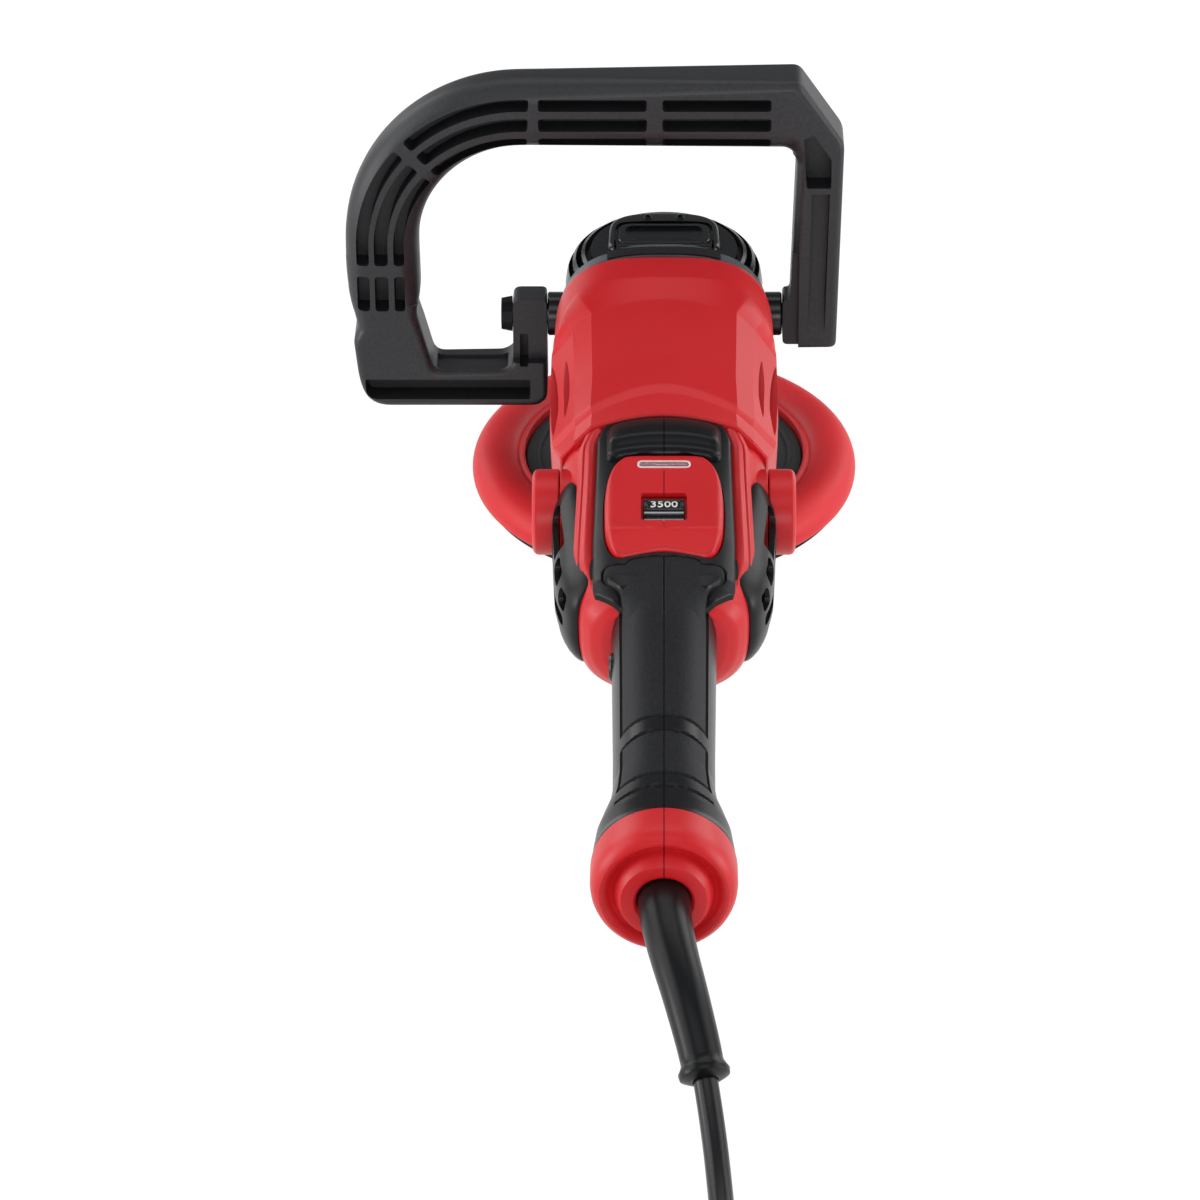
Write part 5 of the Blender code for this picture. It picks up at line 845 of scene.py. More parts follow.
def both_sides(half_grid):
    """A whole ring from one flank: the flank, then its mirror image from bottom to top."""
    mirror = half_grid[:, -2:0:-1] * np.array([-1.0, 1, 1])
    return np.concatenate([half_grid, mirror], 1)


print("columns round the housing", 12 * COLUMNS)

# %% Housing wall and vents
HOUSING_WALL = 3.0


def rows_between(marks, step, crease=0.7):
    """Row places from mark to mark about a step apart, with a close pair at each inner mark."""
    spots = [marks[0]]
    for a, b in zip(marks[:-1], marks[1:]):
        count = max(2, int(round(abs(a - b) / step)))
        spots += np.linspace(a, b, count + 1)[1:].tolist()
    inner = [m + side * crease for m in marks[1:-1] for side in (-1, 1)]
    return np.array(sorted(set(np.round(spots + inner, 3)), reverse=True))


places = rows_between([-27.3, -32.0, -43.0, -54.6, -107.2, -111.6, -124.4], 3.5)
wall_out = both_sides(housing_half(places))
rim = wall_out.copy()
axis = np.array([0, 0, AXIS_Z])


def toward_axis(grid, inset):
    """Moves the points of a grid toward the motor axis by a distance."""
    out = grid - axis
    reach = np.hypot(out[..., 0], out[..., 2])[..., None]
    return np.where([True, False, True], grid - out / reach * np.asarray(inset)[..., None], grid)


wall_in = toward_axis(wall_out, np.full(wall_out.shape[:2], HOUSING_WALL))
front_lip = toward_axis(wall_out[:1] + [0, 0.0, 0], np.full(wall_out[:1].shape[:2], 0.9))
wall_out[0, :, 1] -= 0.9
back_lip = toward_axis(wall_out[-1:], np.full(wall_out[:1].shape[:2], 0.7))
wall_out[-1, :, 1] += 0.6
housing_shape = skin(np.concatenate([front_lip, wall_out, back_lip, wall_in[::-1]]), loop=True)


def leaf(middle_y, half_length, middle_z, half_height, lean):
    """A leaf-shaped outline of (y, z), pointed at both ends: its height falls with the square along it."""
    t = np.linspace(-1, 1, 17)
    rise = half_height * (1 - t ** 2) ** 0.8
    y = middle_y + half_length * t
    z = middle_z + lean * t
    return np.vstack([np.c_[y, z + rise], np.c_[y, z - rise][-2:0:-1]])


VENTS = ((-91, 22, 15.0, 2.6, 1.6), (-95, 17, 22.6, 1.9, 2.0), (-88, 22, -6.0, 2.2, 0.0))
leaves = []
for side in (-1, 1):
    for vent in VENTS:
        line = leaf(*vent)
        leaves.append(skin(np.stack([np.c_[np.full(len(line), side * x), line[:, 0], AXIS_Z + line[:, 1]]
                                     for x in (26.0, 48.0)])))
housing_shape = carve(housing_shape, together(*leaves))
red_housing = piece("motor_housing_shell", housing_shape, RED_NYLON,
                    stands_for=("motor_housing",), sharp=24)
print("housing faces", len(red_housing.data.polygons))

# %% [markdown]
# ## The gear head
# A die-cast case holds the bevel gears. Its flange bolts to the motor housing, and a black plastic guard
# covers its head, because the metal gets hot. The guard has a raised block on top with a bare plate let
# into it, and louvres on both shoulders where the motor's air leaves.

# %% Gear case
case_profile = [(12.6, 36), (29.6, 36), (31.6, 37.2), (33.0, 39.4), (34.0, 42.4), (34.3, 45), (34.3, 92), (33.6, 95.2),
                (31.8, 98), (29, 100.6), (25.4, 102.6), (12.6, 103)]
case_head = skin(lathe(case_profile, steps=96))
neck_rows = np.array([(-27.0, 39.8), (-26.4, 40.5), (-22.0, 40.5), (-21.4, 40.0), (-21.2, 37.8), (-19.5, 37.0), (-16.0, 35.6),
                      (-11.0, 33.7), (-2.0, 30.9)])
around = np.linspace(0, 2 * np.pi, 96, endpoint=False)
neck_reach = box_reach(around[None], neck_rows[:, 1:], neck_rows[:, 1:] - 0.2, neck_rows[:, 1:] - 1, 2.9)
neck = np.stack([neck_reach * np.cos(around), np.broadcast_to(neck_rows[:, :1], neck_reach.shape),
                 AXIS_Z + neck_reach * np.sin(around)], -1)
bosses = [skin(lathe([(10.0, side * 26.0), (10.0, side * 37.4), (9.2, side * 38.2), (4.4, side * 38.2), (4.4, side * 26.0)],
                     "x", (0, 0, BAIL_Z), 48), loop=True) for side in (-1, 1)]
gear_body = piece("gear_case_casting", together(case_head, skin(neck), *bosses), CAST_PAINT,
                  stands_for=("gear_case",), sharp=35)
print("gear case rows", len(neck_rows))

# %% A mound and a box


def mound(outline, floor, top, edge=1.0, rings=8, steps=4):
    """A closed outline of (x, y) rises from a floor to a surface top(x, y). Its edge is a quarter round,
    and the surface inside is rings of the outline that shrink to its middle."""
    outline = np.asarray(outline, float)
    middle = (outline.max(0) + outline.min(0)) / 2
    size = (outline.max(0) - outline.min(0)) / 2
    turn = np.linspace(0, np.pi / 2, steps + 1)
    inset = np.concatenate([[0], edge * (1 - np.cos(turn))])
    drop = np.concatenate([[0], edge * (1 - np.sin(turn))])
    shares = [1 - step / size for step in inset]
    shares += [(1 - edge / size) * s for s in np.linspace(1, 0.004, rings + 1)[1:]]
    drops = np.concatenate([drop, np.zeros(rings)])
    grid = []
    for k, share in enumerate(shares):
        flat = middle + (outline - middle) * share
        z = np.full(len(flat), floor) if k == 0 else top(flat[:, 0], flat[:, 1]) - drops[k]
        grid.append(np.c_[flat, z])
    return skin(np.stack(grid))


def box(low, high):
    """A plain box between two corners, for carving."""
    (x0, y0, z0), (x1, y1, z1) = low, high
    return skin(np.array([[(x0, y0, z), (x1, y0, z), (x1, y1, z), (x0, y1, z)] for z in (z0, z1)], float))


print("mounds ready")

# %% Guard over the gear head
GUARD_BACK = -20.7
guard_profile = [(0.02, 104.0), (16, 104.0), (23, 104.2), (27, 104.6), (29.5, 104.2), (33, 102.0), (35.6, 99.0), (37.0, 95.0),
                 (37.7, 90.5), (37.7, 61.0), (37.1, 60.0), (34.6, 60.0), (34.6, 92), (33.4, 96.6), (29.6, 101.4), (25.5, 103.2),
                 (0.02, 103.3)]
dome = skin(lathe(guard_profile, steps=120), fill=True)
back_cut = box((-60, -60, 50), (60, GUARD_BACK, 125))
boss_cut = skin(lathe([(10.4, -45), (10.4, 45)], "x", (0, 0, BAIL_Z), 40))
neck_grown = neck_reach + 0.5
neck_cut = skin(np.stack([neck_grown * np.cos(around), np.broadcast_to(neck_rows[:, :1], neck_reach.shape),
                          AXIS_Z + neck_grown * np.sin(around)], -1))
louvres = []
for side in (-1, 1):
    for near, far, floor in ((34.9, 36.5, 94.0), (31.6, 33.7, 97.5), (28.0, 30.3, 99.6)):
        turn = np.radians(np.linspace(-33, 52, 36))[:, None]
        edge = np.array([(near, floor + 1.2), (far, floor), (far, 112), (near, 112)])[None]
        louvres.append(skin(np.stack([side * edge[..., 0] * np.cos(turn), edge[..., 0] * np.sin(turn),
                                      np.broadcast_to(edge[..., 1], (36, 4))], -1)))
for cut in (back_cut, neck_cut, boss_cut, together(*louvres)):
    dome = carve(dome, cut)
head_guard = piece("gear_head_guard", dome, BLACK_ABS, stands_for=("gear_head_cover",),
                   sharp=30, round_mm=0.4)
# over the middle of the flange the guard runs on as a thin strap to the red housing
strap_turn = np.linspace(math.radians(61), math.radians(119), 33)
strap_reach = box_reach(strap_turn, 40.5, 40.3, 39.5, 2.9)
strap = np.stack([[((r + lift) * math.cos(t), y, AXIS_Z + (r + lift) * math.sin(t))
                   for lift, y in ((0.1, -27.0), (0.6, -27.0), (0.6, -21.6), (0.1, -20.9), (-3.5, -20.6), (-3.5, -21.0))]
                  for r, t in zip(strap_reach, strap_turn)])
piece("gear_head_strap", skin(strap), BLACK_ABS, sharp=30)
print("guard faces", len(head_guard.data.polygons))

# %% Raised block with its bare plate
BLOCK_HALF, BLOCK_TOP = 21.8, 107.6


def block_top(x, y):
    """The block's top: falls to the front and a little to both sides."""
    return BLOCK_TOP - 0.0022 * x ** 2 - 0.004 * np.maximum(0, y - 12) ** 2


block_line = soft_corners([(-BLOCK_HALF, -3, 5), (BLOCK_HALF, -3, 5), (BLOCK_HALF - 1, 19, 7), (13, 24.5, 7),
                           (-13, 24.5, 7), (-BLOCK_HALF + 1, 19, 7)], 10)
block_shape = mound(block_line, 96.0, block_top, 1.8, 10, 5)
well_line = soft_corners([(-18.6, -0.4, 4.5), (18.6, -0.4, 4.5), (18.6, 16.6, 5), (-18.6, 16.6, 5)], 8)
well = skin(np.stack([np.c_[well_line, np.full(len(well_line), z)] for z in (105.0, 116)]))
grooves = [box(*np.sort(np.array([(side * 18.2, -8, 98), (side * 19.0, 3, 116)]), axis=0)) for side in (-1, 1)]
for cut in [well] + grooves:
    block_shape = carve(block_shape, cut)
block = piece("gear_head_block", block_shape, BLACK_ABS, sharp=30, round_mm=0.4)
plate_line = soft_corners([(-17.6, 0.5, 4), (17.6, 0.5, 4), (17.6, 15.6, 4.5), (-17.6, 15.6, 4.5)], 8)
plate_shape = mound(plate_line, 104.5, lambda x, y: block_top(x, y) - 0.1, 0.8, 8, 4)
face_line = soft_corners([(-14.8, 3.6, 2.6), (14.8, 3.6, 2.6), (14.8, 13.2, 3), (-14.8, 13.2, 3)], 8)
face_cut = skin(np.stack([np.c_[face_line, block_top(face_line[:, 0], face_line[:, 1]) + lift] for lift in (-1.3, 4)]))
plate_shape = carve(plate_shape, face_cut)
bare_plate = piece("bare_head_plate", plate_shape, BLACK_ABS, sharp=30, round_mm=0.3)
print("block and plate ready")

# %% Screws with a six-lobe socket


def screw_head(spot, normal_axis, radius, rise, sign=1.0):
    """A domed screw head with a six-lobed socket: turned rings, the inner ones pulled in at six lobes."""
    angle = np.linspace(0, 2 * np.pi, 48, endpoint=False)
    rows = [(1.0, -1.0, 0), (1.0, 0.0, 0), (0.96, 0.35, 0), (0.8, 0.8, 0), (0.56, 1.0, 0), (0.5, 1.0, 0.16), (0.48, 0.3, 0.16), (0.02, 0.3, 0)]
    grid = []
    for share, height, lobe in rows:
        r = radius * share * (1 + lobe * np.cos(6 * angle))
        h = sign * rise * np.full_like(angle, height)
        a, b = r * np.cos(angle), r * np.sin(angle)
        grid.append(np.stack({"z": (a, b, h), "y": (b, h, a), "x": (h, a, b)}[normal_axis], -1))
    return skin(np.stack(grid) + np.array(spot, float))


head_screws = [screw_head((side * 6.2, 19.4, float(block_top(np.float64(6.2), np.float64(19.4))) - 0.2), "z", 1.8, 0.9)
               for side in (-1, 1)]
flange_screws = [screw_head((side * 33.0, -20.9, AXIS_Z + up), "y", 2.6, 1.4) for side in (-1, 1) for up in (-21.0,)]
piece("gear_head_screws", together(*head_screws, *flange_screws), BLACK_STEEL, sharp=35)
print("screws", len(head_screws) + len(flange_screws))

# %% [markdown]
# ## Rear shells
# Behind the motor the body is two nylon halves that meet on the middle plane. They carry the brush covers,
# the intakes, the dial hump and the whole handle, which the rubber grip covers. Each half is a C-shaped
# section, outer wall then inner wall, carried along the axis. A pair of raised rails frames the soft panel.

# %% Sections of the rear shells
SEAM = 0.15
SHELL_ROWS = np.array([
    (-124.7, 37.2, 27.2, 35.6, 3.2), (-140, 35.6, 26.6, 35, 3.1), (-170, 33.6, 25.4, 34.5, 3.0),
    (-196, 32.6, 22.8, 33.2, 2.9), (-209, 31.4, 20.9, 31, 2.8), (-216, 30.4, 19.8, 28.4, 2.8),
    (-221.5, 28.6, 18.6, 25.2, 2.7), (-225.5, 25.6, 16.8, 22.0, 2.6), (-228, 21.2, 15.2, 19.4, 2.4),
    (-228.4, 16.2, 14.8, 17.2, 2.4), (-236, 16.2, 16.6, 17.4, 2.4),
    (-344.4, 16.2, 16.6, 17.2, 2.3), (-352.4, 17.8, 18, 18.4, 2.2), (-358.1, 20.6, 20.6, 20.6, 2.0)])
PANEL_EDGE = np.array([(-124.7, 21.4), (-133.3, 24.0), (-155, 24.2), (-196, 25.0), (-217, 24.8), (-220.8, 24.0),
                       (-227.2, 15.9), (-228.2, 15.0)])
SEAM_BEND = np.array([(90, 0), (47, 6.2), (36, 9.5), (18, 6.0), (0, 0.4), (-45, 0), (-90, 0)], float)
RAIL = np.array([(0, 2.3), (0.07, 2.8), (0.38, 2.8), (0.43, 2.1), (0.50, 2.1), (0.55, 2.8), (0.92, 2.6), (1.0, 2.2)])
RAIL_WIDTH = 5.0


def seam_bend(theta):
    """How far the joint of housing and shells runs back at an angle in degrees from the side."""
    back = np.interp(-theta, -SEAM_BEND[:, 0], SEAM_BEND[:, 1])
    return back * np.where(theta > 47, (90 - np.minimum(theta, 90)) / 43, 1)


def shell_top(x, y):
    """Height of the shells' plain section over a point."""
    half, up, _, power = row_values(SHELL_ROWS, np.asarray(y, float))
    return AXIS_Z + up * np.maximum(0, 1 - np.minimum(1, np.abs(x) / half) ** power) ** (1 / power)


def shell_side(y, z):
    """Half width of the shells' plain section at a height over the motor axis."""
    half, up, down, power = row_values(SHELL_ROWS, np.asarray(y, float))
    share = np.minimum(1, np.abs(z) / np.where(np.asarray(z) > 0, up, down))
    return half * np.maximum(0, 1 - share ** power) ** (1 / power)


def shell_half(s, side):
    """C-shaped sections at the places s: columns crowd at the panel's edge, where the rails rise."""
    half, up, down, power = (value[:, None] for value in row_values(SHELL_ROWS, s))
    edge = np.interp(-s, -PANEL_EDGE[:, 0], PANEL_EDGE[:, 1])
    far = np.minimum(edge + RAIL_WIDTH, half[:, 0] - 0.5)
    inner = np.degrees(np.arctan2(shell_top(edge, s) - AXIS_Z, edge + 0.35))
    outer = np.degrees(np.arctan2(shell_top(far, s) - AXIS_Z, far))
    ones = np.ones_like(s)
    knots = np.stack([90 * ones, inner + 0.4, inner - 0.4, outer, outer - 2.5, -8 * ones, -50 * ones, -90 * ones], -1)
    counts = np.array([10, 1, 24, 5, 11, 14, 14])
    spots = np.concatenate([k + np.arange(n) / n for k, n in enumerate(counts)] + [[7.0]])
    whole = np.minimum(spots.astype(int), 6)
    part = spots - whole
    theta = knots[:, whole] * (1 - part) + knots[:, whole + 1] * part
    on_rail = np.interp(part, RAIL[:, 0], RAIL[:, 1])
    lift = np.select([whole == 2, whole == 3], [on_rail, 2.2 * (1 - part) ** 1.5], 0.0)
    fade = np.interp(-s, [124.7, 150, 203, 216], [1.0, 0.95, 0.95, 0.0])[:, None]
    reach = box_reach(np.radians(theta), half, up, down, power) + lift * fade
    wall = np.interp(-s, [124.7, 227, 230], [2.4, 2.4, 2.2])[:, None]
    y = s[:, None] - seam_bend(theta) * np.interp(-s, [124.7, 152], [1.0, 0.0])[:, None]
    inside = np.maximum(box_reach(np.radians(theta), half, up, down, power) - wall, 8.0)
    flat = [np.stack([np.maximum(SEAM, r * np.cos(np.radians(theta))), y, AXIS_Z + r * np.sin(np.radians(theta))], -1)
            for r in (reach, inside)]
    return np.concatenate([flat[0], flat[1][:, ::-1]], 1) * np.array([side, 1, 1])


shell_places = np.array(sorted(set(np.r_[-124.7, -125.2, np.arange(-128, -196, -4.0), np.arange(-196, -210, -1.5),
                                         np.arange(-210, -228, -0.75), -228, -228.4, np.arange(-232, -344, -10.0),
                                         -344.4, -348.4, -352.4, -355, -357.9]), reverse=True))
print("shell rows", len(shell_places))

# %% The two halves with their ports
CAP_PROFILE = np.array([
    (-352.4, 16.0), (-357.0, 20.4), (-357.9, 23.5), (-358.6, 24.0), (-360.0, 24.1), (-367.6, 24.1), (-369.8, 23.85),
    (-371.8, 23.2), (-373.4, 22.2), (-374.2, 21.1), (-374.3, 20.2), (-373.8, 19.2), (-372.8, 18.2), (-372.0, 17.5),
    (-371.8, 17.0), (-372.2, 16.6), (-373.2, 16.2), (-376.6, 14.7), (-377.2, 14.2), (-377.4, 13.5), (-377.4, 10.0),
    (-376.8, 9.1), (-366.0, 9.1), (-366.0, 14.0), (-352.4, 14.0)])


def half_turn(profile, side, steps=40):
    """Half a turned ring on one side of the middle plane, from a closed profile of (y, radius)."""
    angle = np.linspace(np.pi / 2, -np.pi / 2, steps + 1)
    x = np.maximum(SEAM, profile[None, :, 1] * np.cos(angle)[:, None])
    z = AXIS_Z + profile[None, :, 1] * np.sin(angle)[:, None]
    return skin(np.stack([side * x, np.broadcast_to(profile[None, :, 0], x.shape), z], -1))


BRUSH_Y = -143.4
TRIGGER_Y = -237.0
DIAL_Y = -186.0
LATCH = (-246.0, 79.0)
trigger_cut = box((-8.7, -303.0, 37), (8.7, -230.5, 71))
latch_cut = skin(lathe([(5.3, -32), (5.3, -8)], "x", (0, *LATCH), 32))
dial_room = box((-10.6, DIAL_Y - 13.4, 85), (10.6, DIAL_Y + 13.4, 104.5))
for side, label in ((-1, "left"), (1, "right")):
    body = skin(shell_half(shell_places, side))
    port = skin(lathe([(11.5, side * 20), (11.5, side * 50)], "x", (0, BRUSH_Y, AXIS_Z), 40))
    air = box(*np.sort(np.array([(side * 22, -200, 64.5), (side * 50, -168, 85)]), axis=0))
    cuts = [port, air, dial_room, trigger_cut] + ([latch_cut] if side < 0 else [])
    for cut in cuts:
        body = carve(body, cut)
    seat = shell_side(-127.9, 0) + 0.5
    ring = [(11.5, 30), (15.5, 30), (15.5, seat - 0.4), (15.1, seat), (11.5, seat)]
    collar = skin(lathe([(r, side * x) for r, x in ring], "x", (0, BRUSH_Y, AXIS_Z), 64), loop=True)
    half_body = together(body, half_turn(CAP_PROFILE, side), collar)
    piece("rear_body_" + label, half_body, RED_NYLON, stands_for=("rear_shell_" + label,), sharp=28)
print("rear halves ready")

# %% [markdown]
# ## Soft panel, rest bumper and dial hump
# A soft rubber panel lies between the rails, with a bumper along its front: the tool rests on it, upside
# down, when the pad is changed. A red hump stands in the panel and holds the status lens and the dial.
# The panel is two grids, one a side; the hump is a mound on its own outline, with windows carved in it.

# %% Panel halves with the bumper
HUMP_TOP = 30.4


def hump_top(x, y):
    """Top of the hump: a gentle fall to the rear, a steep rear slope, a front roll and rolled sides."""
    drop = 0.025 * (-153.0 - y) + 0.70 * np.maximum(0, -199.4 - y) + 0.35 * np.maximum(0, y + 154.6)
    return AXIS_Z + HUMP_TOP - drop - 1.5 * (np.maximum(0, np.abs(x) - 17.6) / 3.4) ** 2


hump_half = [(10.5, -151.9, 4), (14.5, -153.8, 4), (17.9, -159.4, 5), (20.1, -168, 6), (20.9, -178, 6), (20.9, -188, 6),
             (20.4, -199, 6), (16.8, -208.2, 5.5), (9, -206.9, 6)]
hump_line = soft_corners([(-x, y, soft) for x, y, soft in hump_half[::-1]] + hump_half + [(0, -205.3, 7)], 10)
hump_middle = np.array([0, -180.0])
hump_room = hump_middle + (hump_line - hump_middle) * (1 + 0.7 / np.array([21.0, 28.0]))
# the bumper's section as (back from the housing, rise over the panel): a broad face, a crest, a hollow and a lip
BUMPER = np.array([(-2.6, -0.6), (-2.8, 0.9), (-3.6, 2.0), (-6.5, 3.1), (-11, 4.0), (-15, 4.6), (-16.8, 4.7), (-18.2, 4.2),
                   (-19.6, 2.9), (-21, 2.0), (-22.4, 1.7), (-23.6, 2.0), (-24.6, 2.5), (-25.3, 2.5), (-25.8, 1.8), (-26, -0.6)])
BUMPER_ENDS = np.array([(0.15, 1.0), (6, 1.0), (12, 0.98), (16, 0.95), (18.2, 0.88), (19.4, 0.76), (20.1, 0.55), (20.5, 0.25)])


def top_bend(x):
    """How far the front of the panel runs back at a distance from the middle, beside the housing's edge."""
    return 6.2 * (np.abs(x) / 26.5) ** 2


def beside(x, y, line):
    """Distance of points from the nearest side of an open line, worked out for all sides at once."""
    spot = np.stack([x, y], -1)[..., None, :]
    start, way = line[:-1], np.diff(line, axis=0)
    share = np.clip(((spot - start) * way).sum(-1) / (way ** 2).sum(-1), 0, 1)
    return np.linalg.norm(spot - start - share[..., None] * way, axis=-1).min(-1)


# half the outline of the grip's tongue, with its ear: (x, y) from the middle plane to the grip
tongue = soft_corners([(0.15, -208.6, 0.1), (8, -209.0, 3), (12, -210.2, 2), (13.6, -212.4, 1.2), (16, -211.6, 2), (19.6, -211.2, 1.6),
                       (21, -213.2, 1.5), (20.8, -217.4, 2), (16.8, -221.2, 2), (15.0, -224.4, 1.5), (14.2, -231, 2),
                       (13.6, -242, 0.3), (0.15, -242, 0.1)], 6)


def panel_half(side):
    """Grid of one half of the panel: over, then under, with a narrow round at its edge and a groove along the
    outline of the tongue."""
    s = np.r_[-125.3, -125.9, np.arange(-128, -206, -2.0), np.arange(-206, -228, -0.4), -228.2]
    edge = np.interp(-s, -PANEL_EDGE[:, 0], PANEL_EDGE[:, 1])[:, None]
    share = np.linspace(0, 1, 61)[None]
    x = SEAM + (edge - SEAM) * share
    y = s[:, None] - top_bend(x) * np.interp(-s, [125.3, 150], [1, 0])[:, None]
    base = shell_top(x, s[:, None])
    roll = 0.5 * np.clip((x - edge + 0.8) / 0.8, 0, 1) ** 2 + np.where((s > -125.6) | (s < -228), 0.5, 0.0)[:, None]
    roll = roll + 1.1 * np.clip(1 - (beside(x, y, tongue[3:-6]) / 1.0) ** 2, 0, 1)
    over = np.stack([side * x, y, base + 2.3 - roll], -1)
    under = np.stack([side * x, y, base - 0.6], -1)[:, ::-1]
    return skin(np.concatenate([over, under], 1))


def bumper_half(side):
    """The bumper's section, carried out to the side while its height and length shrink about its middle."""
    x, tall = BUMPER_ENDS[:, :1], BUMPER_ENDS[:, 1:]
    back, rise = BUMPER[None, :, 0], BUMPER[None, :, 1]
    y = -140.3 + (back + 15) * (0.6 + 0.4 * tall ** 0.5) - top_bend(x) * np.interp(-back, [2.6, 26], [1.0, 0.4])
    z = shell_top(x, y) + 2.0 + rise * tall
    return skin(np.stack([np.broadcast_to(side * x, y.shape), y, z], -1))


for side, label in ((-1, "left"), (1, "right")):
    room = skin(np.stack([np.c_[hump_room, np.full(len(hump_room), z)] for z in (70, 130)]))
    soft = carve(panel_half(side), room)
    bump = carve(bumper_half(side), room)
    piece("soft_panel_" + label, together(soft, bump), SMOOTH_RUBBER,
          stands_for=("top_panel_" + label,), sharp=30)
print("panel halves ready")

# %% Hump with lens and dial windows
LENS_Y = -159.3
hump_shape = mound(hump_line, 90.0, hump_top, 1.2, 28, 5)
window_line = soft_corners([(-8.1, DIAL_Y - 8.5, 1.2), (8.1, DIAL_Y - 8.5, 1.2), (8.1, DIAL_Y + 8.5, 1.2),
                            (-8.1, DIAL_Y + 8.5, 1.2)], 6)
window_cut = skin(np.stack([np.c_[window_line, np.full(len(window_line), z)] for z in (80, 130)]))


def lens_line(grow):
    """The lens outline, a slim bar with soft corners, grown by a distance."""
    half, deep, soft = 8.9 + grow, 1.7 + grow, 1.4 + grow
    return soft_corners([(-half, LENS_Y - deep, soft), (half, LENS_Y - deep, soft), (half, LENS_Y + deep, soft),
                         (-half, LENS_Y + deep, soft)], 6)


lens_floor = float(hump_top(0, LENS_Y)) - 2.3
lens_cut = skin(np.stack([np.c_[lens_line(0.65), np.full(len(lens_line(0)), z)] for z in (lens_floor, 120)]))
seam_cut = box((-0.14, -199, 90), (0.14, -163, 112))
# inside, the wheel and its axle have room to turn
DIAL_Z = float(hump_top(np.float64(0), np.float64(DIAL_Y))) + 0.9 - 12.5
room_rows = [(3.0, -10.8), (3.0, -8.0), (13.1, -8.0), (13.1, 8.0), (3.0, 8.0), (3.0, 10.8)]
wheel_room = skin(lathe(room_rows, "x", (0, DIAL_Y, DIAL_Z), 64))
for cut in (window_cut, lens_cut, seam_cut, wheel_room):
    hump_shape = carve(hump_shape, cut)
hump = piece("dial_hump", hump_shape, RED_NYLON, sharp=30, round_mm=0.25)
rim_rings = [np.c_[lens_line(grow), np.full(len(lens_line(0)), lens_floor + 2.3 + lift)]
             for grow, lift in ((0.6, -2.2), (0.6, 0.15), (0.45, 0.3), (0.15, 0.3), (0.0, 0.15), (0.0, -2.2))]
piece("lens_rim", skin(np.stack(rim_rings), loop=True), FROSTED, sharp=40)
lens = piece("status_window", mound(lens_line(-0.05), lens_floor + 0.1, lambda x, y: hump_top(x, y) + 0.1, 0.4, 4, 3),
             CLEAR, stands_for=("status_lens",), sharp=40)
print("hump ready")

# %% [markdown]
# ### Speed dial
# The thumb wheel lies across the tool and shows a slice of its rim in the window. Its rim has fine ribs for
# the thumb between painted speeds, and two pale silver bars on it are a painted highlight for the glints of
# its ribs. The numbers are text turned to mesh and then wrapped round the rim, so that they turn with the wheel.

# %% Dial wheel and its numbers
FIRST_MARK = 4.0
angle = np.linspace(0, 2 * np.pi, 360, endpoint=False)
wheel_rows = np.array([(2.4, -10.3, 0), (2.4, -7.3, 0), (11.2, -7.3, 0), (12.1, -7.0, 1), (12.3, -6.2, 1), (12.3, -5.9, 1),
                       (11.9, -5.7, 0), (11.9, 5.7, 0), (12.3, 5.9, 1), (12.3, 6.2, 1), (12.1, 7.0, 1), (11.2, 7.3, 0),
                       (2.4, 7.3, 0), (2.4, 10.3, 0)])
knurl = 0.25 * np.sign(np.cos(60 * angle))
wheel_reach = wheel_rows[:, :1] + wheel_rows[:, 2:] * knurl
from_mark = np.abs((np.degrees(angle) - FIRST_MARK + 22.5) % 45 - 22.5)
ribbed = (from_mark > 13)[None] & (np.abs(wheel_rows[:, 1:2]) < 5.8) & (wheel_rows[:, :1] > 11)
wheel_reach = wheel_reach + np.where(ribbed, 0.4 * (np.cos(60 * angle) > 0), 0)
wheel = np.stack([np.broadcast_to(wheel_rows[:, 1:2], wheel_reach.shape), DIAL_Y + wheel_reach * np.sin(angle),
                  DIAL_Z + wheel_reach * np.cos(angle)], -1)
piece("speed_wheel", skin(wheel), BLACK_ABS, "speed_dial", ("speed_dial",), sharp=30)
numbers = []
for k, speed in enumerate(("3500", "3000", "2500", "2000", "1500", "1000", "600")):
    text = bpy.data.curves.new("speed", "FONT")
    text.body = speed
    text.size = 6.2
    text.align_x, text.align_y = "CENTER", "CENTER"
    text.extrude = 0.08
    text.resolution_u = 3
    words = bpy.data.objects.new("speed", text)
    bpy.context.scene.collection.objects.link(words)
    bpy.context.view_layer.update()
    flat = words.evaluated_get(bpy.context.evaluated_depsgraph_get()).to_mesh()
    spots = np.empty(len(flat.vertices) * 3)
    flat.vertices.foreach_get("co", spots)
    spots = spots.reshape(-1, 3)
    faces = [list(face.vertices) for face in flat.polygons]
    bpy.data.objects.remove(words)
    bpy.data.curves.remove(text)
    turn = math.radians(45 * k + FIRST_MARK) + spots[:, 1] / 11.95
    reach = 11.95 + spots[:, 2]
    numbers.append((np.stack([spots[:, 0] * 0.80, DIAL_Y + reach * np.sin(turn), DIAL_Z + reach * np.cos(turn)], -1), faces))
piece("dial_numbers", together(*numbers), DIAL_PAINT, "speed_dial", sharp=40)
# pale bars on the rim are a painted highlight, standing for the glints of the wheel's ribs
bars = []
for first, last in ((-21.5, -19.0), (-36.5, -32.0)):
    turn = np.radians(np.linspace(first, last, 6))[:, None]
    edge = np.array([(-6.9, 12.0), (6.9, 12.0), (6.9, 12.55), (-6.9, 12.55)])[None]
    bars.append(skin(np.stack([np.broadcast_to(edge[..., 0], (6, 4)), DIAL_Y + edge[..., 1] * np.sin(turn),
                               DIAL_Z + edge[..., 1] * np.cos(turn)], -1)))
piece("dial_glint_bars", together(*bars), RIB_GLINT_PAINT, "speed_dial", sharp=40)
print("dial numbers", len(numbers))

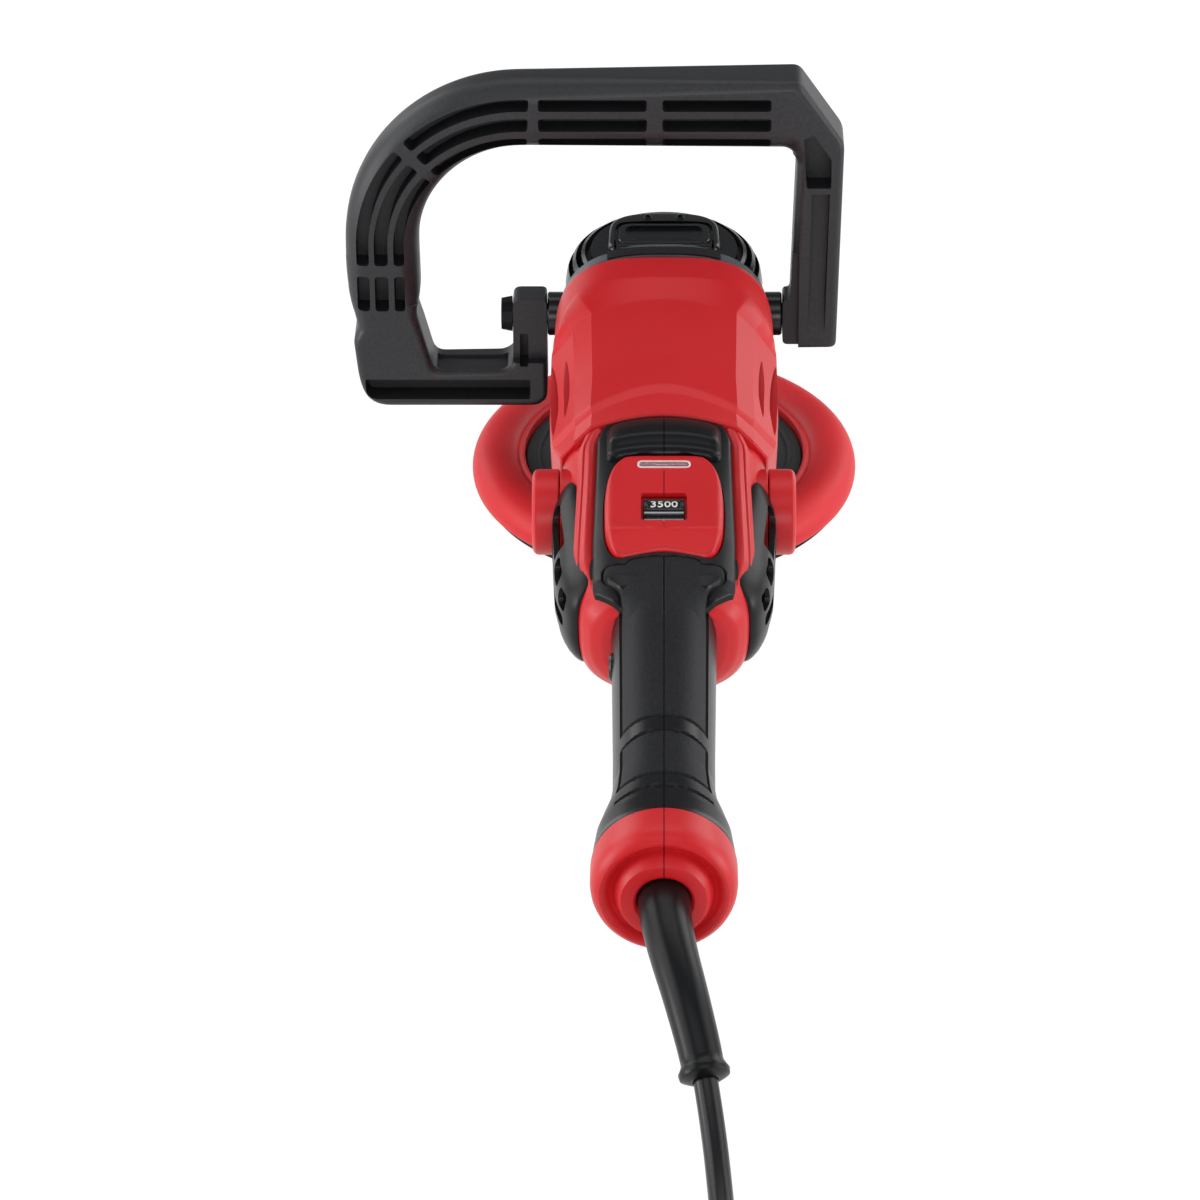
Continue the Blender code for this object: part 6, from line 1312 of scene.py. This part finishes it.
# %% [markdown]
# ## Rubber grip
# The grip is soft rubber moulded over the handle halves. Two grained panels lie on its back, each framed by
# a groove, and the rest is plain. In front it runs onto the body as a tongue with two ears.
# The grooves are small dips in the radius of the section, so one grid holds them all.

# %% Grip halves
GRIP_ROWS = np.array([(-224.3, 18.3, 19.3, 20.1, 2.4), (-234, 18.3, 19.6, 20.1, 2.4), (-254, 17.9, 19.5, 20.1, 2.4),
                      (-300, 17.2, 19.5, 19.8, 2.35), (-320.4, 17.1, 19.5, 19.7, 2.3), (-330, 18.2, 19.4, 19.6, 2.3),
                      (-338, 20.6, 19.2, 19.6, 2.25), (-344.4, 22.4, 19.1, 19.8, 2.2), (-352.4, 23.3, 20.4, 21.2, 2.1),
                      (-355.9, 23.6, 22.3, 22.6, 2.05), (-357.8, 23.7, 23.3, 23.4, 2.0)])
CROSS_GROOVES = (-299.4, -308.2, -332.0, -339.4)
FLANK_GROOVE = math.radians(41)


def dip(distance, half, deep):
    """A round-bottomed groove: deepest where the distance is nought, gone past its half width."""
    return deep * np.clip(1 - (distance / half) ** 2, 0, 1)


def groove_bend(theta):
    """The cross grooves run back a little from the top of the grip to its sides."""
    return 4.6 * np.sin(np.clip(np.pi / 2 - theta, 0, np.pi / 2)) ** 2


def on_panel(theta, place):
    """Whether a direction and a place along the grip lie on one of the two grained panels."""
    return (theta > FLANK_GROOVE) & ((place > CROSS_GROOVES[0]) | ((place < CROSS_GROOVES[1]) & (place > CROSS_GROOVES[2])))


def grip_half(side):
    """C-shaped sections of one half of the grip with the grooves dipped into its outer skin."""
    s = np.r_[-224.3, -224.7, np.arange(-226, -292, -2.0), np.arange(-292, -350, -0.45), np.arange(-350, -357.5, -1.0), -357.8]
    theta = np.radians(np.r_[np.linspace(90, 60, 16), np.linspace(59.2, 20, 80), np.linspace(19, -90, 50)])[None]
    half, up, down, power = (value[:, None] for value in row_values(GRIP_ROWS, s))
    reach = box_reach(theta, half, up, down, power)
    place = s[:, None] + groove_bend(theta)
    deep = sum(dip(place - groove, 0.85, 0.95) for groove in CROSS_GROOVES) * (theta > FLANK_GROOVE - 0.02)
    framed = (place > CROSS_GROOVES[0] - 0.3) | ((place < CROSS_GROOVES[1] + 0.3) & (place > CROSS_GROOVES[2] - 0.3))
    deep = np.maximum(deep, dip((theta - FLANK_GROOVE) * reach, 0.85, 0.95) * framed)
    deep = deep + np.where(s < -357.6, 0.4, 0.0)[:, None]
    core = box_reach(theta, *(value[:, None] for value in row_values(SHELL_ROWS, s))) + 0.3
    flat = [np.stack([np.maximum(SEAM, r * np.cos(theta)), np.broadcast_to(s[:, None], r.shape),
                      AXIS_Z + r * np.sin(theta)], -1) for r in (reach - deep, np.minimum(core, reach - 1.4))]
    return np.concatenate([flat[0], flat[1][:, ::-1]], 1) * np.array([side, 1, 1])


for side, label in ((-1, "left"), (1, "right")):
    rubber = carve(skin(grip_half(side)), trigger_cut)
    if side < 0:
        rubber = carve(rubber, latch_cut)
    grip = piece("grip_rubber_" + label, rubber, SMOOTH_RUBBER, stands_for=("grip_" + label,), sharp=40)
    grip.data.materials.append(GRIP_RUBBER)
    centre = np.empty(len(grip.data.polygons) * 3)
    grip.data.polygons.foreach_get("center", centre)
    centre = centre.reshape(-1, 3) / MM
    turn = np.arctan2(centre[:, 2] - AXIS_Z, np.abs(centre[:, 0]))
    grained = on_panel(turn, centre[:, 1] + groove_bend(turn))
    grip.data.polygons.foreach_set("material_index", grained.astype(np.int32))
print("grip halves ready")

# %% Tongue and ears in front of the grip


def tongue_top(x, y):
    """Follows the soft panel in front and the grip behind, with a smooth change between them."""
    half, up, _, power = row_values(GRIP_ROWS, np.minimum(y, -224.3))
    behind = AXIS_Z + up * np.maximum(0, 1 - np.minimum(1, np.abs(x) / half) ** power) ** (1 / power) - 0.15
    before = shell_top(x, np.maximum(y, -218.0)) + 2.6
    share = np.clip((-214.0 - y) / 26.0, 0, 1)
    share = share * share * (3 - 2 * share)
    return before * (1 - share) + behind * share


for side, label in ((-1, "left"), (1, "right")):
    line = tongue * np.array([side, 1])
    piece("grip_tongue_" + label, mound(line, 86.0, tongue_top, 0.5, 14, 4), GRIP_RUBBER, sharp=35)
# strips inside the body, the grip and the cap back their middle seams
seam_strips = together(box((-1.0, -345, 82), (1.0, -200, 91)), box((-1.0, -366, 84), (1.0, -345.5, 90.8)))
piece("seam_strips", seam_strips, SMOOTH_RUBBER)
print("tongue ready")

# %% [markdown]
# ## Side intakes and brush covers
# The motor draws its air through a slotted cover on each flank, with a steel cloth behind the slots. In front
# of it a round red cover with a coin slot closes the brush holder. The intake is a bulged grid on a
# rounded outline; the brush cover is a turned cup.

# %% Intake covers
POD_Y, POD_Z = -180.0, -2.0
pod_line = soft_corners([(-38, -19.5, 17), (38, -19.5, 17), (38, 19.5, 15), (-38, 19.5, 15)], 12)
POD_SWELL = np.array([(0.0, 1.0), (0.45, 0.97), (0.62, 0.90), (0.76, 0.78), (0.88, 0.58), (0.95, 0.40), (0.985, 0.24), (1.0, 0.10)])
# windows of the cover as (rear, front, low, high): rows of slots with a short one at the rear
POD_WINDOWS = ((-186.5, -158.5, 8.2, 15.6), (-201.5, -189.4, 7.2, 13.4), (-212.5, -204.6, 3.9, 10.6), (-187, -162.5, -2.6, 4.8),
               (-211, -190, -3.0, 2.0), (-186.5, -160.5, -12.8, -5.8), (-205, -189.4, -12.4, -6.0))


def pod_rings(side, lift, shares, bulge=6.0):
    """Rings of the intake's outline, each lifted off the shell's flank by its share of the bulge."""
    rings = []
    for share in shares:
        y = POD_Y + pod_line[:, 0] * share
        z = POD_Z + pod_line[:, 1] * share
        x = shell_side(y, z) + 0.3 + bulge * np.interp(share, POD_SWELL[:, 0], POD_SWELL[:, 1]) + lift
        rings.append(np.stack([side * x, y, AXIS_Z + z], -1))
    return np.stack(rings)


def slot_box(rear, front, low, high, side, soft=2.6):
    """A soft-cornered window of (y, z), pushed through a flank."""
    line = soft_corners([(rear, low, soft), (front, low, soft), (front, high, soft), (rear, high, soft)], 6)
    return skin(np.stack([np.c_[np.full(len(line), side * x), line[:, 0], AXIS_Z + POD_Z + line[:, 1]] for x in (27, 60)]))


for side, label in ((-1, "left"), (1, "right")):
    outer_shares = np.r_[1.0, 0.985, 0.95, 0.88, 0.8, 0.7, 0.6, 0.45, 0.3, 0.15, 0.01]
    inner_shares = np.r_[0.01, 0.3, 0.6, 0.8, 0.93]
    grid = np.concatenate([pod_rings(side, -0.5, [1.0]), pod_rings(side, 0, outer_shares)])
    inside = np.concatenate([pod_rings(side, -1.7, inner_shares), pod_rings(side, -1.0, [0.96])])
    cover = skin(np.concatenate([grid, inside]), loop=True)
    notch = skin(lathe([(16.2, side * 20), (16.2, side * 60)], "x", (0, BRUSH_Y, AXIS_Z), 64))
    cover = carve(cover, notch)
    cover = carve(cover, together(*[slot_box(*one, side) for one in POD_WINDOWS]))
    piece("side_intake_" + label, cover, BLACK_PP, stands_for=("intake_cover_" + label,),
          sharp=30, round_mm=0.35)
    # the filter cloth lies on the shell behind the windows
    cloth = np.concatenate([pod_rings(side, 0.35, [0.96, 0.6, 0.3, 0.01], 0.0), pod_rings(side, 0.1, [0.01, 0.3, 0.6, 0.96], 0.0)])
    piece("filter_cloth_" + label, carve(skin(cloth, loop=True), notch), MESH)
print("intakes ready")

# %% Brush covers
for side, label in ((-1, "left"), (1, "right")):
    seat, end = float(shell_side(-127.9, 0)) + 0.8, 47.4
    cup = [(12.6, seat), (15.0, seat), (15.5, seat + 0.5), (15.5, end - 2.2), (15.2, end - 1.1), (14.4, end - 0.4), (13.3, end), (11.8, end),
           (11.2, end - 0.5), (10.2, end - 0.6), (0.02, end - 0.6), (0.02, end - 3.4), (12.6, end - 3.4)]
    rings = lathe([(r, side * x) for r, x in cup], "x", (0, BRUSH_Y, AXIS_Z), 72)
    coin = box(*np.sort(np.array([(side * (end - 2.1), BRUSH_Y - 8, AXIS_Z - 1.1), (side * (end + 3), BRUSH_Y + 8, AXIS_Z + 1.1)]), axis=0))
    cover = carve(skin(rings, loop=True), coin)
    piece("brush_cap_" + label, cover, RED_NYLON, stands_for=("brush_cover_" + label,), sharp=32,
          round_mm=0.2)
print("brush covers ready")

# %% [markdown]
# ## Trigger and buttons
# The trigger is a lever under the grip with a finger hollow. A small button on the left locks it on, and a
# button at the front of the gear head stops the spindle while the pad is unscrewed. Each turns or slides in the
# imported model, so each new piece rides on the body of the solid that it replaces.

# %% Trigger
trigger_line = soft_corners([(5, 3.5, 2), (5, -5, 3), (0, -11.5, 4), (-13, -15, 6), (-31, -13.6, 8), (-49, -14.8, 6), (-62, -13, 3),
                             (-64, -10, 2), (-64, -1.5, 1.5), (-17, -1.5, 2), (-5, 3.5, 2)], 8)
widths = [(-8.2, 0.94), (-7.6, 0.985), (-6.4, 1.0), (6.4, 1.0), (7.6, 0.985), (8.2, 0.94)]
middle = np.array([-29.0, -6.0])
rings = []
for x, share in widths:
    line = middle + (trigger_line - middle) * np.array([1 - (1 - share) * 0.25, share])
    rings.append(np.c_[np.full(len(line), x), TRIGGER_Y + line[:, 0], 64 + line[:, 1]])
lever = carve(skin(np.stack(rings)), skin(lathe([(2.3, -20), (2.3, 20)], "x", (0, TRIGGER_Y, 64), 24)))
piece("trigger_lever", lever, BLACK_ABS, "trigger", ("trigger",), sharp=35)
print("trigger ready")

# %% Buttons
low, high = (np.array(corner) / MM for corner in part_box("lock_on_button"))
reach = abs(low[0])
root = abs(high[0])
knob = [(0.02, -root), (5.0, -root), (5.0, -reach + 1.0), (4.7, -reach + 0.4), (4.1, -reach), (3.2, -reach + 0.25), (1.6, -reach + 0.5), (0.02, -reach + 0.55)]
piece("lock_on_knob", skin(lathe(knob, "x", (0, *LATCH), 40)), BLACK_ABS, "lock_on_button", ("lock_on_button",), sharp=40)
low, high = (np.array(corner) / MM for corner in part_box("spindle_lock_button"))
face = high[1]
plunger = [(0.02, low[1]), (3.0, low[1]), (3.0, 29.3), (6.5, 29.3), (6.5, face - 1.6), (6.2, face - 0.7), (5.4, face - 0.1), (4.4, face), (3.6, face - 0.4),
           (2.0, face - 0.8), (0.02, face - 0.9)]
piece("spindle_lock_plunger", skin(lathe(plunger, "y", (0, 0, 53.0), 48)), BLACK_ABS, "spindle_lock",
      ("spindle_lock_button",), sharp=40)
print("buttons ready")
